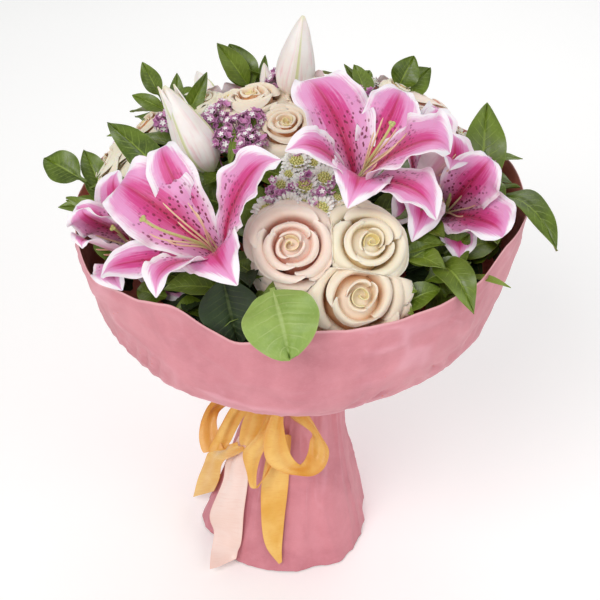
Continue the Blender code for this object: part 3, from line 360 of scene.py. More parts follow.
# twigs: the end of the twig, then the leaves (place along the upper twig, tip, width, face, sag)
TWIGS = {
    "foliage_left": (at_y(86, 182, 0.000), (
        (1.00, at_y(44, 158, 0.020), 0.030, (-0.2, -0.6, 0.8), 0.08),
        (0.86, at_y(84, 150, 0.030), 0.022, (0.2, -0.6, 0.7), 0.06),
        (0.64, at_y(58, 207, -0.014), 0.022, (-0.2, -0.5, 0.8), 0.12))),
    "foliage_top_left": (at_y(162, 100, 0.050), (
        (1.00, at_y(142, 62, 0.060), 0.017, (-0.2, -0.7, 0.6), 0.06),
        (0.90, at_y(132, 95, 0.055), 0.014, (-0.2, -0.7, 0.6), 0.06),
        (0.86, at_y(177, 73, 0.065), 0.014, (0.2, -0.7, 0.6), 0.06),
        (0.80, at_y(207, 72, 0.060), 0.016, (0.2, -0.7, 0.6), 0.06))),
    "foliage_top": (at_y(252, 92, 0.075), (
        (1.00, at_y(217, 43, 0.080), 0.021, (0.1, -0.8, 0.5), 0.05),
        (0.97, at_y(229, 44, 0.095), 0.030, (0.1, -0.8, 0.5), 0.05),
        (0.86, at_y(265, 55, 0.105), 0.012, (0.2, -0.7, 0.6), 0.05))),
    "foliage_top_right": (at_y(396, 92, 0.090), (
        (1.00, at_y(414, 56, 0.100), 0.026, (0.1, -0.7, 0.6), 0.07),
        (0.92, at_y(430, 68, 0.112), 0.028, (0.1, -0.7, 0.6), 0.07),
        (0.80, at_y(344, 64, 0.100), 0.014, (-0.2, -0.6, 0.7), 0.06))),
    "foliage_right": (at_y(485, 201, -0.012), (
        (1.00, at_y(557, 251, -0.085), 0.030, (0.3, -0.4, 0.9), 0.25),
        (0.94, at_y(487, 103, 0.045), 0.038, (0.1, -0.75, 0.6), 0.07),
        (0.90, at_y(485, 150, -0.004), 0.018, (0.2, -0.7, 0.6), 0.05))),
    "foliage_low_right": (at_y(430, 268, -0.108), (
        (1.00, at_y(474, 314, -0.160), 0.028, (0.1, -0.5, 0.9), 0.34),
        (0.94, at_y(470, 234, -0.096), 0.036, (0.1, -0.6, 0.8), 0.08))),
    "foliage_back_left": (dome_at(128, 22, 0.98), (
        (1.00, dome_at(126, 8, 1.12) + np.array((0, 0, 0.044)), 0.032, (-0.3, 0.5, 0.8), 0.12),
        (0.91, dome_at(141, 8, 1.12) + np.array((0, 0, 0.038)), 0.028, (-0.4, 0.4, 0.8), 0.12))),
    "foliage_back_right": (dome_at(60, 20, 0.98), (
        (1.00, dome_at(60, 8, 1.13) + np.array((0, 0, 0.048)), 0.034, (0.4, 0.4, 0.8), 0.12),
        (0.92, dome_at(84, 6, 1.12) + np.array((0, 0, 0.048)), 0.030, (0.1, 0.6, 0.8), 0.12))),
}


# ---------------------------------------------------------------- stems
def polar(radius, azimuth, z):
    a = math.radians(azimuth)
    return np.array((radius * math.cos(a), radius * math.sin(a), z))


def azimuth_of(p):
    return math.degrees(math.atan2(p[1], p[0]))


def stem_route(head, axis, ring, slot, spread):
    """From the cut end on the floor, past its place at the tie, and on to the head: all lean the same way round."""
    neck = polar(ring, slot, NECK_Z - 0.008)
    foot = polar(spread, slot - 62, 0.0) + np.array((-0.012, -0.016, 0.0))
    cut = foot + (neck - foot) * 0.06
    cut = np.array((foot[0], foot[1], cut[2]))
    knee = neck + (neck - foot) * 0.22
    reach = np.linalg.norm(head - knee)
    curve = (knee, knee + unit(neck - foot) * reach * 0.34, head - axis * reach * 0.34, head)
    return [foot, cut, neck, knee] + [bezier(curve, k / 6) for k in range(1, 7)]


# ring radius at the tie, spread of the cut ends, and each stem's place round the ring in degrees
STEM_RINGS = (
    (0.0, 0.0, {"stem_chrysanthemum_front": 0}),
    (0.0115, 0.040, {"stem_rose_cream_top": 70, "stem_rose_peach_top": 180, "stem_rose_cream_front": 225,
                     "stem_statice_left": 107, "stem_statice_back": 320}),
    (0.0228, 0.058, {"stem_lily_left": 162, "stem_lily_right": 297, "stem_lily_back": 66, "stem_rose_blush_front": 207,
                     "stem_rose_cream_low": 262, "stem_rose_cream_left": 122, "stem_rose_blush_back": 332,
                     "stem_rose_cream_back": 92, "stem_chrysanthemum_back": 12}),
)


TWIG_RING = 0.0305
TWIG_PLACES = {"foliage_left": 118, "foliage_top_left": 106, "foliage_top": 73, "foliage_top_right": 321,
               "foliage_right": 276, "foliage_low_right": 244, "foliage_back_left": 85, "foliage_back_right": 345}


RIBBONS = {
    # rows along the ribbon: one edge (board x, y, distance off the skirt), then the other edge
    "bow_loop_left": ((258, 396, 0.012, 267, 401, 0.005), (234, 405, 0.022, 248, 411, 0.008), (221, 425, 0.030, 237, 428, 0.012),
                      (213, 441, 0.034, 230, 442, 0.016), (204, 453, 0.040, 224, 449, 0.022), (199, 438, 0.046, 218, 431, 0.028),
                      (202, 418, 0.046, 217, 418, 0.030), (212, 402, 0.042, 223, 406, 0.026), (236, 390, 0.030, 244, 396, 0.018),
                      (251, 386, 0.020, 258, 391, 0.010)),
    "bow_loop_middle": ((258, 399, 0.026, 274, 401, 0.024), (247, 412, 0.030, 269, 413, 0.026), (242, 424, 0.034, 263, 427, 0.028),
                        (240, 437, 0.034, 256, 439, 0.028), (241, 445, 0.030, 250, 446, 0.026), (246, 442, 0.023, 256, 441, 0.020),
                        (256, 425, 0.018, 266, 426, 0.016), (264, 408, 0.016, 272, 409, 0.014)),
    "bow_loop_front": ((272, 402, 0.034, 284, 404, 0.032), (266, 418, 0.042, 280, 420, 0.038), (256, 436, 0.046, 272, 440, 0.040),
                       (243, 452, 0.044, 262, 455, 0.036), (247, 474, 0.038, 257, 472, 0.032), (251, 488, 0.030, 257, 488, 0.026),
                       (259, 484, 0.023, 263, 480, 0.021), (266, 472, 0.018, 274, 464, 0.016), (270, 450, 0.014, 281, 448, 0.014),
                       (273, 425, 0.012, 281, 425, 0.012)),
    "bow_loop_right": ((276, 404, 0.048, 286, 404, 0.044), (270, 420, 0.056, 283, 421, 0.050), (264, 440, 0.060, 286, 440, 0.050),
                       (266, 460, 0.058, 290, 453, 0.046), (279, 471, 0.054, 295, 461, 0.042), (296, 475, 0.050, 300, 465, 0.038),
                       (313, 476, 0.046, 304, 461, 0.034), (325, 467, 0.042, 308, 452, 0.028), (329, 451, 0.038, 310, 441, 0.023),
                       (322, 436, 0.033, 311, 433, 0.019), (311, 416, 0.027, 291, 420, 0.014), (300, 404, 0.022, 287, 411, 0.012)),
    "ribbon_tail_left": ((236, 443, 0.018, 246, 450, 0.016), (224, 446, 0.017, 236, 455, 0.014), (212, 451, 0.016, 227, 459, 0.013),
                         (206, 457, 0.014, 222, 463, 0.011), (200, 475, 0.010, 219, 477, 0.009), (193, 497, 0.008, 215, 491, 0.008)),
    "ribbon_tail_right": ((276, 432, 0.006, 291, 436, 0.006), (268, 452, 0.006, 290, 454, 0.006), (263, 475, 0.005, 289, 475, 0.005),
                          (261, 500, 0.005, 287, 498, 0.005), (262, 528, 0.005, 284, 524, 0.005), (267, 549, 0.005, 282, 546, 0.005),
                          (279, 564, 0.005, 282, 562, 0.005)),
    "ribbon_tail_pink": ((240, 436, 0.007, 256, 440, 0.007), (226, 460, 0.007, 245, 462, 0.006), (223, 480, 0.007, 247, 482, 0.005),
                         (209, 513, 0.010, 244, 515, 0.006), (214, 532, 0.012, 241, 542, 0.007), (211, 552, 0.012, 238, 552, 0.010),
                         (210, 570, 0.012, 236, 559, 0.012)),
}


def smooth_rows(points, u):
    k = u * (len(points) - 1)
    i = min(int(k), len(points) - 2)
    t = k - i
    p0, p1 = points[max(i - 1, 0)], points[i]
    p2, p3 = points[i + 1], points[min(i + 2, len(points) - 1)]
    return 0.5 * (2 * p1 + (p2 - p0) * t + (2 * p0 - 5 * p1 + 4 * p2 - p3) * t * t + (3 * p1 - p0 - 3 * p2 + p3) * t**3)


def ribbon_edges(name):
    rows = RIBBONS[name]
    return [on_skirt(*row[:3]) for row in rows], [on_skirt(*row[3:]) for row in rows]


def twig_route(name):
    end, _ = TWIGS[name]
    inner = unit(end - np.array((0, 0, 0.17)))
    return stem_route(end, inner, TWIG_RING, TWIG_PLACES[name], 0.068)


def twig_leaf(name, i):
    place, tip, width, face, sag = TWIGS[name][1][i]
    base = smooth_rows([np.array(p) for p in twig_route(name)[5:]], place)
    return leaf(base, tip, width, face, sag, 0.14)


def lily_base(name):
    axis = unit(LILIES[name][1])
    return lily_throat(name) - axis * 0.0316, axis


def rose_base(name):
    centre, r, _ = ROSES[name]
    axis = rose_axis(name)
    return centre - axis * (0.98 * r + 0.0106), axis


def bud_base(name):
    base, tip, width = BUDS[name]
    axis = unit(tip - base)
    return base - axis * (0.04 * float(np.linalg.norm(tip - base)) + 0.0006), axis


def spray_base(heads):
    hub = np.mean(heads, axis=0)
    hub = hub - outward(hub) * 0.050
    return hub - outward(hub) * 0.0066, outward(hub)




# ================================================================ mesh tools
SHIFT = np.array(FRAME_SHIFT)


def bez(curve, u):
    """Points of a cubic curve for an array of places along it."""
    a, b, c, d = (np.asarray(p, float) for p in curve)
    u = np.asarray(u, float)[..., None]
    s = 1 - u
    return a * s**3 + 3 * b * s * s * u + 3 * c * s * u * u + d * u**3


def bez_slope(curve, u):
    a, b, c, d = (np.asarray(p, float) for p in curve)
    u = np.asarray(u, float)[..., None]
    s = 1 - u
    return 3 * (b - a) * s * s + 6 * (c - b) * s * u + 3 * (d - c) * u * u


def units(v):
    return v / np.maximum(np.linalg.norm(v, axis=-1, keepdims=True), 1e-9)


def ease(a, b, x):
    k = np.clip((np.asarray(x, float) - a) / (b - a), 0, 1)
    return k * k * (3 - 2 * k)


def lattice(ix, iy, iz, seed):
    h = (ix * 374761393 + iy * 668265263 + iz * 1440662683 + seed * 1274126177) & 0xFFFFFFFF
    h = ((h ^ (h >> 13)) * 1274126177) & 0xFFFFFFFF
    h = ((h ^ (h >> 15)) * 668265263) & 0xFFFFFFFF
    return ((h ^ (h >> 16)) & 0xFFFFF) / float(0xFFFFF)


def noise(p, scale, seed=0):
    """Smooth value noise from 0 to 1 at an array of points."""
    q = np.asarray(p, float) * scale + 100.0
    i = np.floor(q).astype(np.int64)
    f = q - i
    f = f * f * f * (f * (6 * f - 15) + 10)
    out = 0.0
    for dx in (0, 1):
        for dy in (0, 1):
            for dz in (0, 1):
                w = ((f[..., 0] if dx else 1 - f[..., 0]) * (f[..., 1] if dy else 1 - f[..., 1])
                     * (f[..., 2] if dz else 1 - f[..., 2]))
                out = out + w * lattice(i[..., 0] + dx, i[..., 1] + dy, i[..., 2] + dz, seed)
    return out


def layered(p, scale, seed=0, octaves=3):
    total, weight, size = 0.0, 0.0, 1.0
    for k in range(octaves):
        total = total + size * noise(p, scale * 2**k, seed + 17 * k)
        weight += size
        size *= 0.5
    return total / weight


def held_in(co):
    """What lies inside the paper bowl stays clear of its wall."""
    grid = np.linspace(0, 360, 73)
    rim = np.interp(np.degrees(np.arctan2(co[:, 1], co[:, 0])) % 360, grid, [smooth_table(RIM_Z, a % 360) for a in grid])
    radial = np.hypot(co[:, 0], co[:, 1])
    near = (radial > 0.1785) & (radial < 0.1925) & (co[:, 2] < rim - 0.014) & (co[:, 2] > 0.285)
    share = np.where(near, 0.1785 / np.maximum(radial, 1e-6), 1.0)
    return co * np.stack([share, share, np.ones_like(share)], -1)


class Build:
    """Collects closed shells and makes one mesh object of them. Each vertex has place = (along, across, side),
    cloth = the same in metres, and tone, a number that its material may use."""

    def __init__(self):
        self.co, self.loops, self.sizes, self.place, self.cloth, self.tone, self.n = [], [], [], [], [], [], 0

    def add(self, co, faces, place, cloth=None, tone=0.0):
        co = np.asarray(co, float).reshape(-1, 3)
        for f in faces:
            f = np.asarray(f)
            self.loops.append((f + self.n).ravel())
            self.sizes.append(np.full(len(f), f.shape[1]))
        self.co.append(co)
        self.place.append(np.asarray(place, float).reshape(-1, 3))
        self.cloth.append(np.asarray(place if cloth is None else cloth, float).reshape(-1, 3))
        self.tone.append(np.broadcast_to(np.asarray(tone, float).ravel() if np.ndim(tone) else tone, (len(co),)))
        self.n += len(co)

    def sheet(self, p, thick=0.0005, u=None, v=None, length=None, width=None, tone=0.0, ring=False):
        """A closed thin sheet round a grid of points, nu x nv. With ring, it closes on itself across."""
        p = np.asarray(p, float)
        nu, nv = p.shape[:2]
        u = np.linspace(0, 1, nu) if u is None else u
        v = np.linspace(-1, 1, nv) if v is None else v
        du = np.gradient(p, axis=0)
        if ring:
            dv = (np.roll(p, -1, axis=1) - np.roll(p, 1, axis=1)) / 2
        else:
            dv = np.gradient(p, axis=1)
        n = units(np.cross(du, dv))
        half = np.asarray(thick, float) / 2
        half = half[..., None] if np.ndim(half) else half
        co = np.concatenate([(p + n * half).reshape(-1, 3), (p - n * half).reshape(-1, 3)])
        idx = np.arange(nu * nv).reshape(nu, nv)
        right = np.roll(idx, -1, axis=1) if ring else None
        a = idx[:-1] if ring else idx[:-1, :-1]
        b = right[:-1] if ring else idx[:-1, 1:]
        c = right[1:] if ring else idx[1:, 1:]
        d = idx[1:] if ring else idx[1:, :-1]
        m = nu * nv
        top = np.stack([a, d, c, b], -1).reshape(-1, 4)
        faces = [top, top[:, ::-1] + m]
        if not ring:
            l, r = idx[:, 0], idx[:, -1]
            faces.append(np.stack([l[:-1], l[:-1] + m, l[1:] + m, l[1:]], -1))
            faces.append(np.stack([r[:-1], r[1:], r[1:] + m, r[:-1] + m], -1))
            s, e = idx[0], idx[-1]
            faces.append(np.stack([s[:-1], s[1:], s[1:] + m, s[:-1] + m], -1))
            faces.append(np.stack([e[:-1], e[:-1] + m, e[1:] + m, e[1:]], -1))
        else:
            s, e = idx[0], idx[-1]
            sr, er = np.roll(s, -1), np.roll(e, -1)
            faces.append(np.stack([s, sr, sr + m, s + m], -1))
            faces.append(np.stack([e, e + m, er + m, er], -1))
        uu, vv = np.broadcast_to(np.asarray(u).reshape(-1, 1) if np.ndim(u) == 1 else u, (nu, nv)), np.broadcast_to(v, (nu, nv))
        place = np.stack([uu, vv, np.ones((nu, nv))], -1).reshape(-1, 3)
        under = place * (1, 1, -1)
        length = 1.0 if length is None else length
        width = 1.0 if width is None else width
        cloth = np.stack([uu * length, vv * width, np.zeros((nu, nv))], -1).reshape(-1, 3)
        tone = np.broadcast_to(tone, (nu, nv)).ravel() if np.ndim(tone) else np.full(nu * nv, float(tone))
        self.add(co, faces, np.concatenate([place, under]), np.concatenate([cloth, cloth]), np.concatenate([tone, tone]))

    def tube(self, points, radius, sides=8, tone=0.0, twist=0.0):
        """A closed tube along points, with one radius or one for each point."""
        p = np.asarray(points, float)
        n = len(p)
        radius = np.broadcast_to(radius, (n,))
        t = units(np.gradient(p, axis=0))
        ref = np.array((0.0, 0.0, 1.0)) if abs(t[0][2]) < 0.9 else np.array((1.0, 0.0, 0.0))
        x = unit(np.cross(ref, t[0]))
        rows = []
        for i in range(n):
            x = unit(x - t[i] * (x @ t[i]))
            y = np.cross(t[i], x)
            a = np.arange(sides) * 2 * math.pi / sides + twist * i
            rows.append(p[i] + radius[i] * (np.cos(a)[:, None] * x + np.sin(a)[:, None] * y))
        co = np.array(rows)
        idx = np.arange(n * sides).reshape(n, sides)
        nxt = np.roll(idx, -1, axis=1)
        faces = [np.stack([idx[:-1], nxt[:-1], nxt[1:], idx[1:]], -1).reshape(-1, 4), idx[:1, ::-1], idx[-1:]]
        run = np.concatenate([[0], np.cumsum(np.linalg.norm(np.diff(p, axis=0), axis=1))])
        around = np.arange(sides) / sides
        place = np.stack([np.broadcast_to((run / max(run[-1], 1e-9))[:, None], (n, sides)), np.broadcast_to(around, (n, sides)),
                          np.ones((n, sides))], -1)
        cloth = np.stack([np.broadcast_to(run[:, None], (n, sides)),
                          np.broadcast_to(around * 2 * math.pi, (n, sides)) * radius[:, None], np.zeros((n, sides))], -1)
        self.add(co, faces, place, cloth, tone)

    def turned(self, centre, axis, rows, sides=12, tone=0.0, bump=None):
        """A closed turned body: (radius, height) rows about an axis, capped by a point at each end."""
        axis = unit(axis)
        x, y = frame_of(axis)
        rows = np.asarray(rows, float)
        a = np.arange(sides) * 2 * math.pi / sides
        r = np.broadcast_to(rows[1:-1, :1], (len(rows) - 2, sides))
        if bump is not None:
            r = r * bump(rows[1:-1, 1:2], a[None, :])
        ring = centre + r[..., None] * (np.cos(a)[None, :, None] * x + np.sin(a)[None, :, None] * y) + rows[1:-1, 1][:, None, None] * axis
        n = len(ring)
        co = np.concatenate([ring.reshape(-1, 3), [centre + axis * rows[0, 1]], [centre + axis * rows[-1, 1]]])
        idx = np.arange(n * sides).reshape(n, sides)
        nxt = np.roll(idx, -1, axis=1)
        first, last = n * sides, n * sides + 1
        faces = [np.stack([idx[:-1], nxt[:-1], nxt[1:], idx[1:]], -1).reshape(-1, 4),
                 np.stack([np.full(sides, first), nxt[0], idx[0]], -1), np.stack([np.full(sides, last), idx[-1], nxt[-1]], -1)]
        up = rows[:, 1]
        share = (up - up.min()) / max(np.ptp(up), 1e-9)
        place = np.concatenate([np.stack([np.broadcast_to(share[1:-1, None], (n, sides)), np.broadcast_to(a / (2 * math.pi), (n, sides)),
                                          np.ones((n, sides))], -1).reshape(-1, 3), [[share[0], 0, 1]], [[share[-1], 0, 1]]])
        self.add(co, faces, place, None, tone)

    def make(self, name, look, replaces=(), slot=None, sharp=60):
        mesh = bpy.data.meshes.new(name)
        co = np.concatenate(self.co)
        if not name.startswith(("wrap", "ribbon", "bow", "binding", "stem")):
            co = held_in(co)
        co = co + SHIFT
        co[:, 2] = np.maximum(co[:, 2], 0.0)
        loops, sizes = np.concatenate(self.loops), np.concatenate(self.sizes)
        mesh.vertices.add(len(co))
        mesh.vertices.foreach_set("co", co.astype(np.float32).ravel())
        mesh.loops.add(len(loops))
        mesh.loops.foreach_set("vertex_index", loops.astype(np.int32))
        mesh.polygons.add(len(sizes))
        mesh.polygons.foreach_set("loop_start", np.concatenate([[0], np.cumsum(sizes)[:-1]]).astype(np.int32))
        mesh.update(calc_edges=True)
        for key, rows in (("place", self.place), ("cloth", self.cloth)):
            made = mesh.attributes.new(key, "FLOAT_VECTOR", "POINT")
            made.data.foreach_set("vector", np.concatenate(rows).astype(np.float32).ravel())
        made = mesh.attributes.new("tone", "FLOAT", "POINT")
        made.data.foreach_set("value", np.concatenate(self.tone).astype(np.float32))
        mesh.materials.append(look)
        mesh.shade_smooth()
        mesh.set_sharp_from_angle(angle=math.radians(sharp))
        piece = bpy.data.objects.new(name, mesh)
        bpy.context.scene.collection.objects.link(piece)
        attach(piece, "root")
        if replaces:
            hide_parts(*replaces)
        return piece


def frame_of(axis):
    """Two unit vectors across an axis."""
    axis = unit(axis)
    ref = np.array((0.0, 0.0, 1.0)) if abs(axis[2]) < 0.95 else np.array((1.0, 0.0, 0.0))
    x = unit(np.cross(ref, axis))
    return x, np.cross(axis, x)


def rounded(points, per=6):
    """A smooth run of points through the given ones."""
    pts = [np.asarray(p, float) for p in points]
    n = (len(pts) - 1) * per + 1
    return np.array([smooth_rows(pts, k / (n - 1)) for k in range(n)])


# ================================================================ materials
class Look:
    """Builds one node material round a Principled shader."""

    def __init__(self, name, rough=0.5, **fixed):
        self.material = bpy.data.materials.new(name)
        self.material.use_nodes = True
        self.tree = self.material.node_tree
        self.shader = self.tree.nodes["Principled BSDF"]
        self.shader.inputs["Roughness"].default_value = rough
        for key, value in fixed.items():
            self.shader.inputs[key.replace("_", " ")].default_value = value

    def new(self, kind, ins=None, **props):
        node = self.tree.nodes.new("ShaderNode" + kind)
        for key, value in props.items():
            setattr(node, key, value)
        for key, value in (ins or {}).items():
            if value is None:
                continue
            if isinstance(value, bpy.types.NodeSocket):
                self.tree.links.new(value, node.inputs[key])
            else:
                node.inputs[key].default_value = value
        return node

    def attr(self, name, part=None):
        node = self.new("Attribute", attribute_name=name)
        if part is None:
            return node.outputs["Vector"]
        if part == "value":
            return node.outputs["Fac"]
        return self.new("SeparateXYZ", {0: node.outputs["Vector"]}).outputs[part]

    def math(self, op, a, b=None, c=None, clamp=False):
        return self.new("Math", {0: a, 1: b, 2: c}, operation=op, use_clamp=clamp).outputs[0]

    def ease(self, x, low, high, a=0.0, b=1.0):
        return self.new("MapRange", {"Value": x, "From Min": low, "From Max": high, "To Min": a, "To Max": b},
                        interpolation_type="SMOOTHSTEP").outputs[0]

    def scaled(self, vector, by):
        return self.new("VectorMath", {0: vector, 1: by}, operation="MULTIPLY").outputs[0]

    def mix(self, fac, a, b, blend="MIX"):
        node = self.tree.nodes.new("ShaderNodeMix")
        node.data_type = "RGBA"
        node.blend_type = blend
        for socket, value in ((node.inputs[0], fac), (node.inputs[6], a), (node.inputs[7], b)):
            if isinstance(value, bpy.types.NodeSocket):
                self.tree.links.new(value, socket)
            else:
                socket.default_value = (*value, 1.0) if isinstance(value, tuple) and len(value) == 3 else value
        return node.outputs[2]

    def noise(self, vector, scale, detail=3.0, rough=0.5, distort=0.0):
        return self.new("TexNoise", {"Vector": vector, "Scale": scale, "Detail": detail, "Roughness": rough,
                                     "Distortion": distort}).outputs[0]

    def spots(self, vector, scale, random=1.0):
        return self.new("TexVoronoi", {"Vector": vector, "Scale": scale, "Randomness": random}).outputs["Distance"]

    def bump(self, height, strength=0.3, distance=0.001, after=None):
        node = self.new("Bump", {"Height": height, "Strength": strength, "Distance": distance})
        if after is not None:
            self.tree.links.new(after, node.inputs["Normal"])
        return node.outputs[0]

    def done(self, colour=None, rough=None, normal=None):
        for key, socket in (("Base Color", colour), ("Roughness", rough), ("Normal", normal)):
            if socket is not None:
                self.tree.links.new(socket, self.shader.inputs[key])
        return self.material


# ================================================================ camera, floor and light
def place_camera():
    lens = bpy.data.cameras.new("camera")
    lens.sensor_width = 36.0
    lens.lens = 36.0 * BOARD_SCALE / 600.0
    lens.clip_start = 0.05
    lens.clip_end = 50.0
    camera = bpy.data.objects.new("camera", lens)
    bpy.context.scene.collection.objects.link(camera)
    camera.location = Vector(EYE + SHIFT)
    camera.rotation_euler = Vector(BOARD_IN).to_track_quat("-Z", "Y").to_euler()
    bpy.context.scene.camera = camera


def place_floor():
    mesh = bpy.data.meshes.new("floor")
    n = 48
    ring = [(6 * math.cos(2 * math.pi * k / n), 6 * math.sin(2 * math.pi * k / n), -0.0006) for k in range(n)]
    mesh.from_pydata(ring, [], [list(range(n))])
    look = Look("floor_pale", rough=0.9, Emission_Strength=0.10)
    where = look.new("TexCoord").outputs["Object"]
    tint = look.mix(look.noise(where, 3.0, 2.0), (0.95, 0.95, 0.945), (0.975, 0.975, 0.97))
    mesh.materials.append(look.done(tint))
    floor = bpy.data.objects.new("floor", mesh)
    bpy.context.scene.collection.objects.link(floor)


def area_light(name, place, size, power, tint=(1.0, 1.0, 1.0), aim=(0.0, 0.0, 0.25)):
    light = bpy.data.lights.new(name, "AREA")
    light.shape = "DISK"
    light.size = size
    light.energy = power
    light.color = tint
    item = bpy.data.objects.new(name, light)
    item.location = place
    item.rotation_euler = (Vector(aim) - Vector(place)).to_track_quat("-Z", "Y").to_euler()
    bpy.context.scene.collection.objects.link(item)


def place_lights():
    area_light("key", (-0.9, -1.5, 1.9), 1.3, 26.0, (1.0, 0.985, 0.965))
    area_light("fill", (1.6, -1.1, 1.1), 1.6, 9.0, (0.98, 0.99, 1.0))
    area_light("back", (0.3, 1.5, 1.6), 1.4, 10.0)
    world = bpy.data.worlds.new("studio")
    world.use_nodes = True
    sky = world.node_tree.nodes["Background"]
    sky.inputs["Color"].default_value = (1.0, 1.0, 1.0, 1.0)
    sky.inputs["Strength"].default_value = 0.52
    bpy.context.scene.world = world
    bpy.context.scene.view_settings.view_transform = "Standard"


place_camera()
place_floor()
place_lights()


# ================================================================ paper
def paper_look():
    look = Look("paper_rose_coral", rough=0.62, Sheen_Weight=0.12, Sheen_Roughness=0.6)
    u, side = look.attr("place", 0), look.attr("place", 2)
    tone = look.attr("tone", "value")
    where = look.new("TexCoord").outputs["Object"]
    broad = look.ease(look.noise(where, 16.0, 4.0, 0.55, 0.6), 0.30, 0.70)
    cloud = look.noise(where, 70.0, 5.0, 0.6, 0.3)
    fibre = look.noise(look.scaled(where, (420.0, 420.0, 1500.0)), 1.0, 4.0, 0.7, 1.2)
    rose = look.mix(broad, (0.530, 0.165, 0.205), (0.660, 0.238, 0.280))
    rose = look.mix(look.ease(cloud, 0.35, 0.75, 0.0, 0.30), rose, (0.760, 0.330, 0.385))
    rose = look.mix(look.ease(fibre, 0.45, 0.80, 0.0, 0.16), rose, (0.84, 0.47, 0.51))
    # painted highlight: the rose side is lighter where tone is high, on crease ridges and fold crests; on the creases
    # it is partly the paper's own whitening
    rose = look.mix(look.ease(tone, 0.25, 1.0, 0.0, 0.42), rose, (0.82, 0.42, 0.50))
    # painted shade: the rose side is darker where tone is low, in the hollows of folds and pleats
    rose = look.mix(look.ease(tone, -0.2, -1.0, 0.0, 0.55), rose, (0.40, 0.095, 0.115))
    coral = look.mix(broad, (0.640, 0.120, 0.080), (0.760, 0.200, 0.140))
    coral = look.mix(look.ease(fibre, 0.45, 0.80, 0.0, 0.20), coral, (0.78, 0.26, 0.20))
    colour = look.mix(look.ease(side, -0.2, 0.2), coral, rose)
    # painted highlight: a pale band along the rim edge
    colour = look.mix(look.ease(u, 0.014, 0.004, 0.0, 0.55), colour, (0.86, 0.50, 0.52))
    rough = look.ease(cloud, 0.3, 0.7, 0.55, 0.74)
    height = look.math("ADD", look.math("MULTIPLY", cloud, 0.8), look.math("MULTIPLY", fibre, 0.35))
    return look.done(colour, rough, look.bump(height, 0.35, 0.0006))


def triangle(x):
    """A wave of straight flanks and sharp folds, from -1 to 1."""
    return 4 * np.abs(x - np.floor(x + 0.5)) - 1


def ridges(q, scale, seed, power=3.0):
    return (1 - np.abs(2 * noise(q, scale, seed) - 1)) ** power


def smoothed(values, reach):
    """Rounds the corners of a run of values and keeps its two ends."""
    kernel = np.hanning(2 * reach + 3)[1:-1]
    kernel /= kernel.sum()
    first, last = values[0], values[-1]
    padded = np.concatenate([2 * first - values[reach:0:-1], values, 2 * last - values[-2:-reach - 2:-1]])
    return np.convolve(padded, kernel, "valid")


def surface_normals(p):
    du = np.gradient(p, axis=0)
    dv = (np.roll(p, -1, axis=1) - np.roll(p, 1, axis=1)) / 2
    return units(np.cross(du, dv))


def hill(az, t, az0, t0, wide, tall):
    d = (az - az0 + 180) % 360 - 180
    return np.exp(-(d / wide) ** 2 - ((t - t0) / tall) ** 2)


